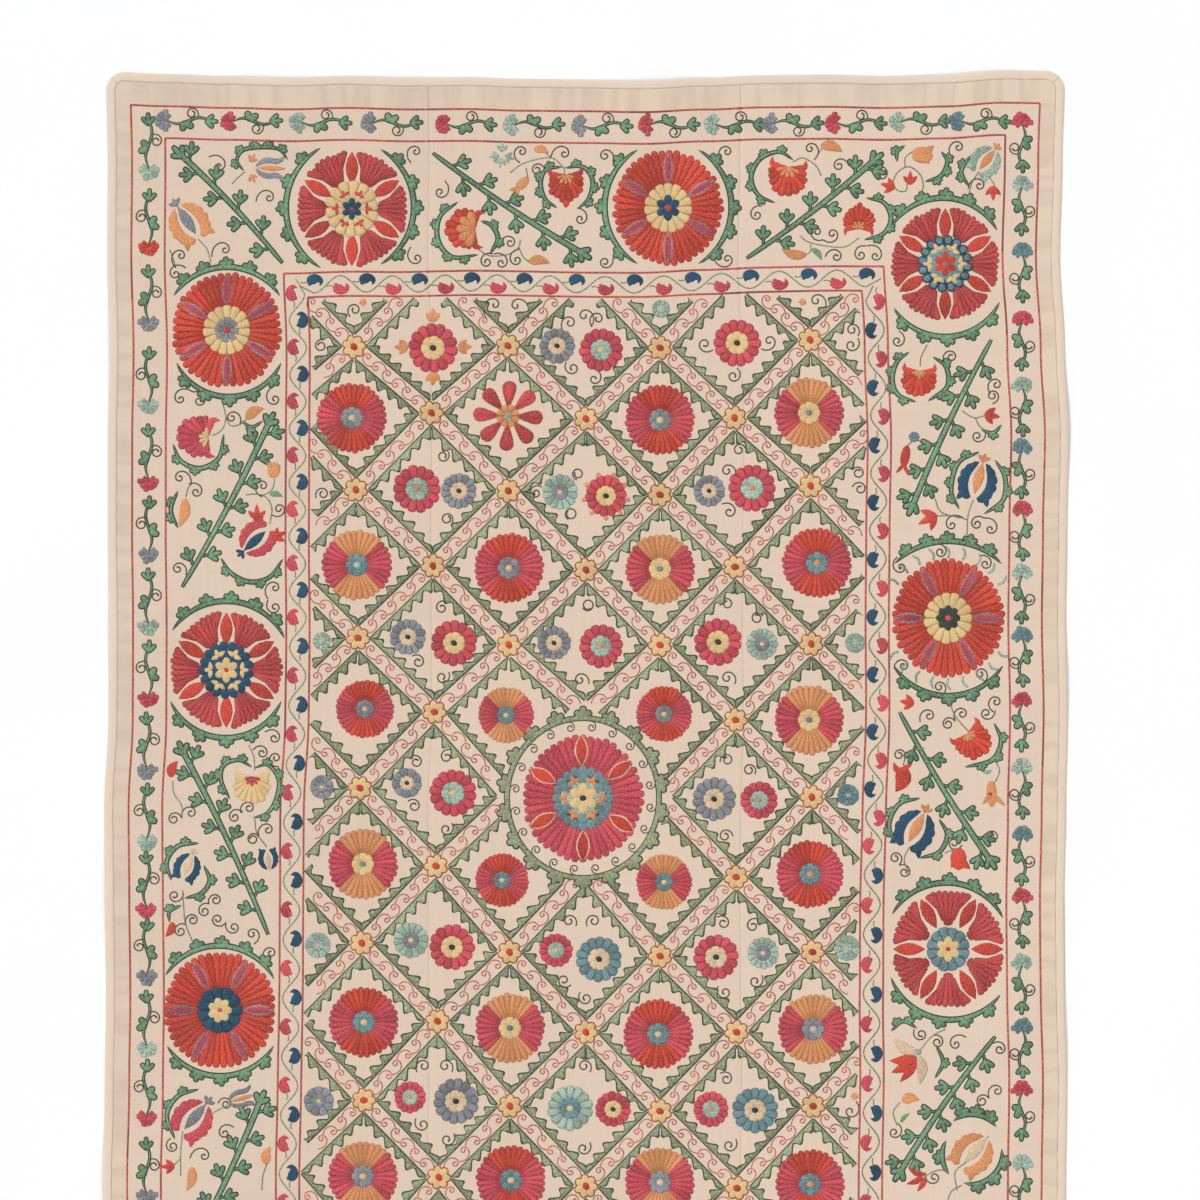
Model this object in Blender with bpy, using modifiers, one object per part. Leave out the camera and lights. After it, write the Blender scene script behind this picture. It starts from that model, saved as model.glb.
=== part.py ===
"""Suzani: a large embroidered cloth laid out flat, as sewn pieces.

Three strips of ground cloth are seamed side by side, and a folded binding covers the raw edge all round.
Metres, +Z up. The cloth lies on z = 0 with its top edge towards +Y, and the origin is the middle of its underside.
"""

import math

import bmesh
import bpy

# The cloth's outer rectangle and the pieces in it
WIDTH = 1.600
LENGTH = 2.450
CORNER_RADIUS = 0.032
SHEET_THICKNESS = 0.002
BINDING_WIDTH = 0.015
BINDING_THICKNESS = 0.003
BINDING_ROUNDING = 0.001
LEFT_SEAM = -0.2614
RIGHT_SEAM = 0.2589
GAP = 0.0003

# How the edges wander: each draws in from the outer rectangle by this many millimetres at every sixteenth of its
# length, the top and bottom from left to right and the sides from the top down
MM = 0.001
TOP_DRAW_IN = (2, 6, 9, 12, 9, 12, 11, 14, 15, 17, 12, 8, 7, 9, 7, 0, 1)
BOTTOM_DRAW_IN = (3, 5, 8, 6, 3, 0, 4, 8, 10, 7, 5, 8, 11, 8, 5, 3, 4)
LEFT_DRAW_IN = (5, 8, 7, 11, 8, 8, 10, 9, 2, 4, 5, 3, 0, 2, 5, 7, 5)
RIGHT_DRAW_IN = (7, 11, 15, 7, 0, 3, 5, 2, 5, 8, 7, 3, 5, 8, 7, 3, 7)
EDGE_FADE = 3.0

# Soft ridges where the cloth is a little longer than the ground under it
# Columns: middle across, middle along, turn in degrees, length, width, height
RIDGES = (
    (-0.52, 1.16, 84, 0.34, 0.20, 0.0040),
    (-0.31, 1.18, 95, 0.26, 0.17, 0.0030),
    (0.12, 1.17, 88, 0.30, 0.22, 0.0045),
    (0.62, 1.13, 74, 0.40, 0.24, 0.0050),
    (0.72, 0.66, -8, 0.36, 0.26, 0.0050),
    (0.74, 0.22, 6, 0.30, 0.22, 0.0035),
    (0.71, -0.36, -5, 0.34, 0.24, 0.0045),
    (0.73, -0.88, 9, 0.30, 0.22, 0.0040),
    (-0.73, 0.78, 7, 0.30, 0.24, 0.0040),
    (-0.74, 0.30, -6, 0.32, 0.22, 0.0030),
    (-0.72, -0.14, 8, 0.38, 0.26, 0.0050),
    (-0.74, -0.62, -9, 0.30, 0.22, 0.0040),
    (-0.46, -1.15, 97, 0.36, 0.24, 0.0045),
    (0.05, -1.17, 86, 0.30, 0.22, 0.0035),
    (0.50, -1.16, 93, 0.34, 0.22, 0.0045),
    (-0.36, 0.44, 38, 0.46, 0.30, 0.0020),
    (0.34, -0.02, -52, 0.50, 0.30, 0.0020),
    (-0.28, -0.58, 24, 0.44, 0.30, 0.0020),
)

# How finely the pieces are divided
STRIP_COLUMNS = 9
STRAIGHT_ROWS = 44
CORNER_STEPS = 6

# Linear colours
GROUND_COLOUR = (0.76, 0.63, 0.50, 1.0)
BINDING_COLOUR = (0.80, 0.68, 0.56, 1.0)
CLOTH_ROUGHNESS = 0.9


def draw_in(table, share):
    """An edge's inset in metres at a share of its length, eased from each sixteenth to the next."""
    place = min(max(share, 0.0), 1.0) * (len(table) - 1)
    step = min(int(place), len(table) - 2)
    ease = (1 - math.cos(math.pi * (place - step))) / 2
    return (table[step] * (1 - ease) + table[step + 1] * ease) * MM


def lay(x, y):
    """Where a point of the cut rectangle lies once the edges wander. The shift fades towards the far edge."""
    across = (x + WIDTH / 2) / WIDTH
    down = (LENGTH / 2 - y) / LENGTH
    from_left = draw_in(LEFT_DRAW_IN, down) * (1 - across)
    from_right = draw_in(RIGHT_DRAW_IN, down) * across
    from_top = draw_in(TOP_DRAW_IN, across) * (1 - down) ** EDGE_FADE
    from_bottom = draw_in(BOTTOM_DRAW_IN, across) * down**EDGE_FADE
    return x + from_left - from_right, y - from_top + from_bottom


def rise(x, y):
    """How far the underside stands off the floor at a point: nothing but for the soft ridges."""
    total = 0.0
    for middle_x, middle_y, turn, length, width, height in RIDGES:
        c, s = math.cos(math.radians(turn)), math.sin(math.radians(turn))
        along = ((x - middle_x) * c + (y - middle_y) * s) / (length / 2)
        beside = ((y - middle_y) * c - (x - middle_x) * s) / (width / 2)
        distance = math.hypot(along, beside)
        if distance < 1:
            total += height * (1 + math.cos(math.pi * distance)) / 2
    return total


def grid(columns, rows):
    """A flat grid, and each of its points as (vertex, column, row)."""
    bm = bmesh.new()
    bmesh.ops.create_grid(bm, x_segments=columns, y_segments=rows, size=1.0)
    numbered = [
        (v, round((v.co.x + 1) / 2 * columns), round((v.co.y + 1) / 2 * rows))
        for v in bm.verts
    ]
    return bm, numbered


def place(vertex, x, y):
    """Lays a grid point on the floor at a point of the cut rectangle."""
    laid_x, laid_y = lay(x, y)
    vertex.co = (laid_x, laid_y, rise(laid_x, laid_y))


def material(name, colour):
    made = bpy.data.materials.new(name)
    made.use_nodes = True
    shader = made.node_tree.nodes["Principled BSDF"]
    shader.inputs["Base Color"].default_value = colour
    shader.inputs["Roughness"].default_value = CLOTH_ROUGHNESS
    shader.inputs["Metallic"].default_value = 0.0
    return made


def add_piece(name, bm, thickness, cloth, collection):
    """Makes an open sheet an object of the collection and thickens it upwards from its underside."""
    mesh = bpy.data.meshes.new(name)
    bm.to_mesh(mesh)
    bm.free()
    mesh.materials.append(cloth)
    mesh.shade_smooth()
    mesh.set_sharp_from_angle(angle=math.radians(40))
    piece = bpy.data.objects.new(name, mesh)
    collection.objects.link(piece)
    shell = piece.modifiers.new("thickness", "SOLIDIFY")
    shell.thickness = thickness
    shell.offset = 1.0
    return piece


def corner_angles():
    """The angles at which a rounded corner is divided, from its side to its top."""
    return [math.pi / 2 * step / CORNER_STEPS for step in range(CORNER_STEPS + 1)]


def row_heights():
    """Each row of a strip as (y, turn), turn being how far round a corner it is, 0 along the straight sides."""
    middle = LENGTH / 2 - CORNER_RADIUS
    radius = CORNER_RADIUS - BINDING_WIDTH - GAP
    top = [(middle + radius * math.sin(a), a) for a in corner_angles()]
    straight = [
        (middle * (2 * row / STRAIGHT_ROWS - 1), 0.0) for row in range(STRAIGHT_ROWS + 1)
    ]
    bottom = [(-y, a) for y, a in reversed(top)]
    return bottom[:-1] + straight + top[1:]


def side_line(turn):
    """How far out a strip's bound side is, at a row that has gone this far round the corner."""
    radius = CORNER_RADIUS - BINDING_WIDTH - GAP
    return WIDTH / 2 - CORNER_RADIUS + radius * math.cos(turn)


def ground_strip(name, left, right, cloth, collection):
    """One strip of ground cloth. left and right give its sides at a row, from how far round the corner it is."""
    rows = row_heights()
    bm, numbered = grid(STRIP_COLUMNS, len(rows) - 1)
    for vertex, column, row in numbered:
        y, turn = rows[row]
        share = column / STRIP_COLUMNS
        place(vertex, left(turn) * (1 - share) + right(turn) * share, y)
    return add_piece(name, bm, SHEET_THICKNESS, cloth, collection)


def corner_stations(sign_x, sign_y, angles):
    """Points round one corner as (centre x, centre y, outward x, outward y), with the outer radius left out."""
    centre_x = sign_x * (WIDTH / 2 - CORNER_RADIUS)
    centre_y = sign_y * (LENGTH / 2 - CORNER_RADIUS)
    return [
        (centre_x, centre_y, sign_x * math.cos(a), sign_y * math.sin(a)) for a in angles
    ]


def halves_of_corner():
    """The corner's angles up to its mitre and after it, each stopping half a gap short."""
    mitre = math.pi / 4
    slack = GAP / 2 / (CORNER_RADIUS - BINDING_WIDTH)
    angles = corner_angles()
    before = [a for a in angles if a < mitre - slack] + [mitre - slack]
    after = [mitre + slack] + [a for a in angles if a > mitre + slack]
    return before, after


def top_stations(sign_y):
    """The binding's stations along the top or bottom edge, from the left mitre to the right one."""
    after = halves_of_corner()[1]
    left_corner = corner_stations(-1, sign_y, after)
    right_corner = corner_stations(1, sign_y, after)
    reach = WIDTH / 2 - CORNER_RADIUS
    level = sign_y * (LENGTH / 2 - CORNER_RADIUS)
    stops = (-reach, LEFT_SEAM, RIGHT_SEAM, reach)
    straight = [
        (start + (end - start) * column / STRIP_COLUMNS, level, 0.0, sign_y)
        for start, end in zip(stops, stops[1:])
        for column in range(STRIP_COLUMNS)
    ]
    return left_corner[:-1] + straight + right_corner[::-1]


def side_stations(sign_x):
    """The binding's stations along a side, from the bottom mitre to the top one."""
    before = halves_of_corner()[0]
    bottom_corner = corner_stations(sign_x, -1, before)
    top_corner = corner_stations(sign_x, 1, before)
    level = sign_x * (WIDTH / 2 - CORNER_RADIUS)
    middle = LENGTH / 2 - CORNER_RADIUS
    straight = [
        (level, middle * (2 * row / STRAIGHT_ROWS - 1), sign_x, 0.0)
        for row in range(STRAIGHT_ROWS)
    ]
    return bottom_corner[::-1][:-1] + straight + top_corner


def binding_strip(name, stations, cloth, collection):
    """One length of binding, swept along its stations, with its folds rounded."""
    bm, numbered = grid(1, len(stations) - 1)
    for vertex, column, row in numbered:
        x, y, out_x, out_y = stations[row]
        reach = CORNER_RADIUS - BINDING_WIDTH * (1 - column)
        place(vertex, x + out_x * reach, y + out_y * reach)
    bm.normal_update()
    if all(face.normal.z < 0 for face in bm.faces):
        bmesh.ops.reverse_faces(bm, faces=bm.faces[:])
    piece = add_piece(name, bm, BINDING_THICKNESS, cloth, collection)
    fold = piece.modifiers.new("fold", "BEVEL")
    fold.width = BINDING_ROUNDING
    fold.segments = 2
    fold.limit_method = "ANGLE"
    fold.angle_limit = math.radians(40)
    return piece


def main():
    for old in list(bpy.data.objects):
        bpy.data.objects.remove(old)
    collection = bpy.data.collections.new("suzani")
    bpy.context.scene.collection.children.link(collection)
    ground = material("ground_cloth", GROUND_COLOUR)
    edging = material("binding_cloth", BINDING_COLOUR)

    ground_strip(
        "strip_left",
        lambda turn: -side_line(turn),
        lambda turn: LEFT_SEAM - GAP / 2,
        ground,
        collection,
    )
    ground_strip(
        "strip_centre",
        lambda turn: LEFT_SEAM + GAP / 2,
        lambda turn: RIGHT_SEAM - GAP / 2,
        ground,
        collection,
    )
    ground_strip(
        "strip_right",
        lambda turn: RIGHT_SEAM + GAP / 2,
        side_line,
        ground,
        collection,
    )
    binding_strip("binding_top", top_stations(1), edging, collection)
    binding_strip("binding_bottom", top_stations(-1), edging, collection)
    binding_strip("binding_left", side_stations(-1), edging, collection)
    binding_strip("binding_right", side_stations(1), edging, collection)


main()
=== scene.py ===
import math

import bpy
import numpy as np
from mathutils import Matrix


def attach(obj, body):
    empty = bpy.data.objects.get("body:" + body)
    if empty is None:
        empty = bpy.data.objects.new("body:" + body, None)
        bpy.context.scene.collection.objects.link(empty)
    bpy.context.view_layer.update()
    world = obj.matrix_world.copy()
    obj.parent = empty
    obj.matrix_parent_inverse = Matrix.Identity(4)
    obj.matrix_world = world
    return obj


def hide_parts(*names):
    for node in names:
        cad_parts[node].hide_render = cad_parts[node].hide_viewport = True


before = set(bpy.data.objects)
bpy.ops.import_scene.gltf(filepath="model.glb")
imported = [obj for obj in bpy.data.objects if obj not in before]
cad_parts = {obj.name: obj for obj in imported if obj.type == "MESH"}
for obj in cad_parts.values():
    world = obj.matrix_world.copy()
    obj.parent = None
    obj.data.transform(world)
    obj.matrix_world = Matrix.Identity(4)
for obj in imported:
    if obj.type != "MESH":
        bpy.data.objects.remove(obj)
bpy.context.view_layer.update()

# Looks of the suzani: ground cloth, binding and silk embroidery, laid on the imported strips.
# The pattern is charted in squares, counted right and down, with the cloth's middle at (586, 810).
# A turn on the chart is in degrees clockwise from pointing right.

# The cloth as it lies: the same named sizes as the solids

WIDTH = 1.600
LENGTH = 2.450
CORNER_RADIUS = 0.032
SHEET_THICKNESS = 0.002
BINDING_WIDTH = 0.015
LEFT_SEAM = -0.2614
RIGHT_SEAM = 0.2589
GAP = 0.0003
MM = 0.001
TOP_DRAW_IN = (2, 6, 9, 12, 9, 12, 11, 14, 15, 17, 12, 8, 7, 9, 7, 0, 1)
BOTTOM_DRAW_IN = (3, 5, 8, 6, 3, 0, 4, 8, 10, 7, 5, 8, 11, 8, 5, 3, 4)
LEFT_DRAW_IN = (5, 8, 7, 11, 8, 8, 10, 9, 2, 4, 5, 3, 0, 2, 5, 7, 5)
RIGHT_DRAW_IN = (7, 11, 15, 7, 0, 3, 5, 2, 5, 8, 7, 3, 5, 8, 7, 3, 7)
EDGE_FADE = 3.0

# Columns: middle across, middle along, turn in degrees, length, width, height
RIDGES = (
    (-0.52, 1.16, 84, 0.34, 0.20, 0.0040),
    (-0.31, 1.18, 95, 0.26, 0.17, 0.0030),
    (0.12, 1.17, 88, 0.30, 0.22, 0.0045),
    (0.62, 1.13, 74, 0.40, 0.24, 0.0050),
    (0.72, 0.66, -8, 0.36, 0.26, 0.0050),
    (0.74, 0.22, 6, 0.30, 0.22, 0.0035),
    (0.71, -0.36, -5, 0.34, 0.24, 0.0045),
    (0.73, -0.88, 9, 0.30, 0.22, 0.0040),
    (-0.73, 0.78, 7, 0.30, 0.24, 0.0040),
    (-0.74, 0.30, -6, 0.32, 0.22, 0.0030),
    (-0.72, -0.14, 8, 0.38, 0.26, 0.0050),
    (-0.74, -0.62, -9, 0.30, 0.22, 0.0040),
    (-0.46, -1.15, 97, 0.36, 0.24, 0.0045),
    (0.05, -1.17, 86, 0.30, 0.22, 0.0035),
    (0.50, -1.16, 93, 0.34, 0.22, 0.0045),
    (-0.36, 0.44, 38, 0.46, 0.30, 0.0020),
    (0.34, -0.02, -52, 0.50, 0.30, 0.0020),
    (-0.28, -0.58, 24, 0.44, 0.30, 0.0020),
)

# The chart: squares across the cloth, its middle, and the square picture that the camera takes of it
SQUARES_ACROSS = 966
SQUARE = WIDTH / SQUARES_ACROSS
MIDDLE = np.array((586.0, 810.0))
PICTURE = 1200

# The plain margin that the stitching puckers: where it starts on each axis, and over what width
MARGIN_X, MARGIN_X_FADE = 0.762, 0.014
MARGIN_Y, MARGIN_Y_FADE = 1.174, 0.020
FIELD_WAVES = 0.00022
MARGIN_CREASES = 0.0014
SEAM_DEPTH = 0.0005
SEAM_REACH = 0.003
SMOOTH_ANGLE = math.radians(50)

# Threads of the weave, rows of silk and stitches along them, in metres
WARP_PITCH = 0.0016
WEFT_PITCH = 0.0018
SILK_ROW = 0.0017
SILK_STITCH = 0.0032


def draw_in(table, share):
    """An edge's inset in metres at a share of its length, eased from each sixteenth to the next."""
    place = np.clip(share, 0, 1) * (len(table) - 1)
    step = np.minimum(place.astype(int), len(table) - 2)
    ease = (1 - np.cos(math.pi * (place - step))) / 2
    rows = np.asarray(table, float)
    return (rows[step] * (1 - ease) + rows[step + 1] * ease) * MM


def lay(x, y):
    """Where points of the cut rectangle lie once the edges wander."""
    across = (x + WIDTH / 2) / WIDTH
    down = np.clip((LENGTH / 2 - y) / LENGTH, 0, 1)
    from_left = draw_in(LEFT_DRAW_IN, down) * (1 - across)
    from_right = draw_in(RIGHT_DRAW_IN, down) * across
    from_top = draw_in(TOP_DRAW_IN, across) * (1 - down) ** EDGE_FADE
    from_bottom = draw_in(BOTTOM_DRAW_IN, across) * down**EDGE_FADE
    return x + from_left - from_right, y - from_top + from_bottom


def rise(x, y):
    """How far the underside stands off the floor."""
    total = np.zeros_like(x)
    for middle_x, middle_y, turn, length, width, height in RIDGES:
        c, s = math.cos(math.radians(turn)), math.sin(math.radians(turn))
        along = ((x - middle_x) * c + (y - middle_y) * s) / (length / 2)
        beside = ((y - middle_y) * c - (x - middle_x) * s) / (width / 2)
        distance = np.minimum(np.hypot(along, beside), 1)
        total += height * (1 + np.cos(math.pi * distance)) / 2
    return total


def pucker(x, y):
    """Small waves that the stitching draws in: long ones inside, and creases in the plain margin."""
    by_ends = np.clip((np.abs(y) - MARGIN_Y) / MARGIN_Y_FADE, 0, 1)
    margin = np.maximum(by_ends, np.clip((np.abs(x) - MARGIN_X) / MARGIN_X_FADE, 0, 1))
    long_waves = np.sin(41 * x + 2.1 * np.sin(17 * y)) * np.sin(37 * y + 1.7 * np.sin(19 * x + 1))
    across = np.abs(np.sin(74 * x + 2.2 * np.sin(13 * x) + 5 * y))
    along = np.abs(np.sin(66 * y + 2.2 * np.sin(11 * y) + 4 * x))
    creases = (across * by_ends + along * (1 - by_ends)) ** 0.7
    return FIELD_WAVES * (1 + long_waves) * (1 - 0.6 * margin) + MARGIN_CREASES * creases * margin


def seam_dip(x, y):
    """The furrow where two strips are seamed."""
    left, right = (lay(np.full_like(x, seam), y)[0] for seam in (LEFT_SEAM, RIGHT_SEAM))
    furrows = np.exp(-(((x - left) / SEAM_REACH) ** 2)) + np.exp(-(((x - right) / SEAM_REACH) ** 2))
    return -SEAM_DEPTH * furrows


def cloth_top(x, y):
    """The height of the cloth's upper side, which everything sewn to it follows."""
    return rise(x, y) + SHEET_THICKNESS + pucker(x, y) + seam_dip(x, y)


def chart_to_cloth(points, half_turn):
    """Chart squares to metres, turned about the middle to the other end where half_turn is set."""
    x = (points[:, 0] - MIDDLE[0]) * SQUARE
    y = (MIDDLE[1] - points[:, 1]) * SQUARE
    laid_x, laid_y = lay(x, y)
    cut_x, cut_y = 2 * x - laid_x, 2 * y - laid_y
    turned_x, turned_y = lay(-cut_x, -cut_y)
    return np.where(half_turn, turned_x, x), np.where(half_turn, turned_y, y)


# Shader nodes, written as sums


class Value:
    """A socket that takes part in sums."""

    def __init__(self, nodes, socket):
        self.nodes = nodes
        self.socket = socket

    def _math(self, operation, *others):
        return self.nodes.node("ShaderNodeMath", {"operation": operation}, self, *others)

    def __add__(self, other):
        return self._math("ADD", other)

    __radd__ = __add__

    def __mul__(self, other):
        return self._math("MULTIPLY", other)

    __rmul__ = __mul__

    def __sub__(self, other):
        return self._math("SUBTRACT", other)

    def __rsub__(self, other):
        return self.nodes.node("ShaderNodeMath", {"operation": "SUBTRACT"}, other, self)

    def sine(self):
        return self._math("SINE")

    def size(self):
        return self._math("ABSOLUTE")

    def greater(self, other):
        return self._math("MAXIMUM", other)

    def clamp(self):
        return self.nodes.node("ShaderNodeClamp", {}, self)


class Nodes:
    """A material's node tree, with its Principled shader."""

    def __init__(self, name, roughness, sheen=0.0, specular=0.3):
        self.material = bpy.data.materials.new(name)
        self.material.use_nodes = True
        self.tree = self.material.node_tree
        self.shader = self.tree.nodes["Principled BSDF"]
        self.shader.inputs["Roughness"].default_value = roughness
        self.shader.inputs["Specular IOR Level"].default_value = specular
        self.shader.inputs["Sheen Weight"].default_value = sheen
        self.shader.inputs["Sheen Roughness"].default_value = 0.4

    def put(self, socket, value):
        if isinstance(value, Value):
            self.tree.links.new(value.socket, socket)
        elif value is not None:
            socket.default_value = value

    def node(self, kind, settings, *values, output=0, **named):
        made = self.tree.nodes.new(kind)
        for key, setting in settings.items():
            setattr(made, key, setting)
        for socket, value in zip(made.inputs, values):
            self.put(socket, value)
        for key, value in named.items():
            self.put(made.inputs[key.replace("_", " ")], value)
        return Value(self, made.outputs[output])

    def mix(self, factor, first, second):
        made = self.tree.nodes.new("ShaderNodeMix")
        made.data_type = "RGBA"
        self.put(made.inputs[0], factor)
        self.put(made.inputs[6], first)
        self.put(made.inputs[7], second)
        return Value(self, made.outputs[2])

    def place(self):
        return self.node("ShaderNodeTexCoord", {}, output=3)

    def flat_place(self, name):
        """The piece's own flat coordinates as a vector and as its two parts."""
        vector = self.node("ShaderNodeUVMap", {"uv_map": name})
        return (
            vector,
            self.node("ShaderNodeSeparateXYZ", {}, vector, output=0),
            self.node("ShaderNodeSeparateXYZ", {}, vector, output=1),
        )

    def stretched(self, vector, x, y):
        return self.node("ShaderNodeVectorMath", {"operation": "MULTIPLY"}, vector, (x, y, 1.0))

    def noise(self, vector, scale, detail):
        return self.node("ShaderNodeTexNoise", {}, Vector=vector, Scale=scale, Detail=detail)

    def bump(self, height, distance, strength):
        made = self.node("ShaderNodeBump", {}, Strength=strength, Distance=distance, Height=height)
        self.tree.links.new(made.socket, self.shader.inputs["Normal"])

    def colour(self, value):
        self.put(self.shader.inputs["Base Color"], value)
        return self.material


def linear(red, green, blue, gain):
    """A linear colour from its usual 0 to 255 values."""
    made = []
    for value in (red, green, blue):
        share = value / 255
        share = share / 12.92 if share <= 0.04045 else ((share + 0.055) / 1.055) ** 2.4
        made.append(min(share * gain, 1.0))
    return (*made, 1.0)


# How much of the light each surface gives back is set against the floor, which the lights bring to white
CLOTH_GAIN = 0.84
# How fast the margin's tone sets in, as a share for each metre
MARGIN_SHARPNESS = 260.0


def woven_cotton(name, inner, margin, margin_at, tone_of_strip=1.0):
    """Hand-woven cotton: a plain weave, uneven threads and faint streaks. The margin is a little darker, and
    its fold lines are darkened further as painted shade in the creases.
    """
    n = Nodes(name, 0.92, sheen=0.12, specular=0.15)
    vector, u, v = n.flat_place("cut")
    edge = ((u.size() - margin_at[0]).greater(v.size() - margin_at[1]) * MARGIN_SHARPNESS + 0.5).clamp()
    clouds = n.noise(vector, 4.0, 3.0)
    warp_streaks = n.noise(n.stretched(vector, 160.0, 5.0), 1.0, 3.0)
    weft_streaks = n.noise(n.stretched(vector, 5.0, 170.0), 1.0, 3.0)
    warp = (u * (2 * math.pi / WARP_PITCH)).sine()
    weft = (v * (2 * math.pi / WEFT_PITCH)).sine()
    threads = warp * weft
    tone = (clouds * 0.5 + warp_streaks * 0.45 + weft_streaks * 0.35 + threads * 0.05).clamp()
    at_end = ((v.size() - margin_at[1]) * MARGIN_SHARPNESS + 0.5).clamp()
    end_folds = n.noise(n.stretched(vector, 22.0, 3.0), 1.0, 2.0)
    side_folds = n.noise(n.stretched(vector, 3.0, 20.0), 1.0, 2.0)
    folds = end_folds * at_end + side_folds * (1.0 - at_end)
    fold_line = (1.0 - (folds - 0.5).size() * 9.0).clamp() * edge
    gain = CLOTH_GAIN * tone_of_strip
    light = n.mix(edge, linear(*inner[0], gain), linear(*margin[0], gain))
    dark = n.mix(edge, linear(*inner[1], gain), linear(*margin[1], gain))
    n.bump(threads * 0.5 + warp_streaks * 0.8 + weft_streaks * 0.8 - fold_line * 1.2, 0.0003, 0.5)
    cloth = n.mix(tone, dark, light)
    # Painted shade: the colour along the margin's fold lines, which the bump also sinks, is darkened.
    painted_crease_shade = linear(*(value * 0.88 for value in margin[1]), gain)
    return n.colour(n.mix(fold_line * 0.3, cloth, painted_crease_shade))


def silk(name, colour):
    """Silk laid in rows of small stitches: each row and each shape takes the dye a little differently. A
    negative tone mixes in a darker colour, which the bands under rows of stitching take in full as painted
    shade in the furrows between rows.
    """
    pale = max(colour) > 226
    spread = 0.2 if pale else 0.31
    n = Nodes(name, 0.55, sheen=0.25, specular=0.35)
    vector, u, v = n.flat_place("rows")
    shape = n.node("ShaderNodeAttribute", {"attribute_name": "tone"}, output=2)
    rows = n.noise(n.stretched(vector, 560.0, 200.0), 1.0, 3.0)
    faded = n.noise(n.place(), 14.0, 2.0)
    ridge = (u * (2 * math.pi / SILK_ROW)).sine()
    stitch = (v * (2 * math.pi / SILK_STITCH) + ridge * 0.9).sine()
    # The ridge and stitch waves also shift the colour with the relief: painted light on the ridges and
    # painted shade between them.
    tone = (shape * 0.35 + rows * 3.2 + faded * 0.8 + ridge * 0.08 + stitch * 0.06 - 1.7).clamp()
    n.bump(ridge * 0.6 + stitch * 0.4, 0.00025, 0.6)
    dark = linear(*(value * (1 - spread) for value in colour), CLOTH_GAIN)
    lighter = min(1 + spread * 0.6, 244 / max(colour))
    light = linear(*(value * lighter + 7 for value in colour), CLOTH_GAIN)
    # Painted shade: the darker colour of the furrows between rows of stitching.
    furrow = linear(*(value * 0.78 for value in colour), CLOTH_GAIN)
    return n.colour(n.mix((shape * -1.0).clamp(), n.mix(tone, dark, light), furrow))


# Ground cloth and binding

CORNER_STEPS = 8
ROW_STEP = 0.0105
STRIP_COLUMNS = 52
SEAM_STEPS = (0.0012, 0.003, 0.006)
BINDING_CLEARANCE = 0.0002


def finish_piece(piece, material, node):
    piece.data.materials.clear()
    piece.data.materials.append(material)
    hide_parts(node)
    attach(piece, "root")


def add_grid(name, columns, rows):
    """A grid primitive of this many steps, alone in the selection, and each point's column and row."""
    bpy.ops.object.select_all(action="DESELECT")
    bpy.ops.mesh.primitive_grid_add(x_subdivisions=columns, y_subdivisions=rows, size=2)
    piece = bpy.context.object
    piece.name = name
    piece.data.name = name
    flat = np.empty(len(piece.data.vertices) * 3)
    piece.data.vertices.foreach_get("co", flat)
    flat = flat.reshape(-1, 3)
    column = np.rint((flat[:, 0] + 1) / 2 * columns).astype(int)
    row = np.rint((flat[:, 1] + 1) / 2 * rows).astype(int)
    return piece, column, row


def shape_grid(piece, points, flat):
    """Moves the grid's points into place and writes their flat coordinates to the map named cut."""
    piece.data.vertices.foreach_set("co", np.ascontiguousarray(points).ravel())
    layer = piece.data.uv_layers.active
    layer.name = "cut"
    corners = np.empty(len(piece.data.loops), dtype=int)
    piece.data.loops.foreach_get("vertex_index", corners)
    layer.data.foreach_set("uv", np.ascontiguousarray(flat[corners]).ravel())
    piece.data.update()


def thicken(piece, thickness):
    """Gives an open sheet its thickness downwards and shades it smooth."""
    shell = piece.modifiers.new("thickness", "SOLIDIFY")
    shell.thickness = thickness
    shell.offset = -1.0
    bpy.ops.object.modifier_apply(modifier=shell.name)
    bpy.ops.object.shade_smooth_by_angle(angle=SMOOTH_ANGLE)


def row_lines():
    """Each row of a strip as (y, how far round the corner)."""
    middle = LENGTH / 2 - CORNER_RADIUS
    radius = CORNER_RADIUS - BINDING_WIDTH - GAP
    angles = np.linspace(0, math.pi / 2, CORNER_STEPS + 1)
    count = round(2 * middle / ROW_STEP)
    straight = np.linspace(-middle, middle, count + 1)
    top = middle + radius * np.sin(angles)
    y = np.concatenate((-top[::-1][:-1], straight, top[1:]))
    turn = np.concatenate((angles[::-1][:-1], np.zeros(count + 1), angles[1:]))
    return y, turn


def ground_strip(name, node, left_seam, right_seam, material):
    """One strip of ground cloth with its bound side rounded at the corners, and denser beside its seams."""
    y, turn = row_lines()
    bound = WIDTH / 2 - CORNER_RADIUS + (CORNER_RADIUS - BINDING_WIDTH - GAP) * np.cos(turn)
    left = -bound if left_seam is None else np.full_like(y, left_seam + GAP / 2)
    right = bound if right_seam is None else np.full_like(y, right_seam - GAP / 2)
    near = np.array(SEAM_STEPS) / (WIDTH / 3)
    shares = [np.linspace(0, 1, STRIP_COLUMNS + 1)]
    if left_seam is not None:
        shares.append(near)
    if right_seam is not None:
        shares.append(1 - near)
    shares = np.sort(np.concatenate(shares))
    piece, column, row = add_grid(name, len(shares) - 1, len(y) - 1)
    share = shares[column]
    cut_x = left[row] * (1 - share) + right[row] * share
    cut_y = y[row]
    x, laid_y = lay(cut_x, cut_y)
    shape_grid(
        piece,
        np.stack((x, laid_y, cloth_top(x, laid_y)), axis=1),
        np.stack((cut_x, cut_y), axis=1),
    )
    thicken(piece, SHEET_THICKNESS - GAP)
    finish_piece(piece, material, node)


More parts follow.
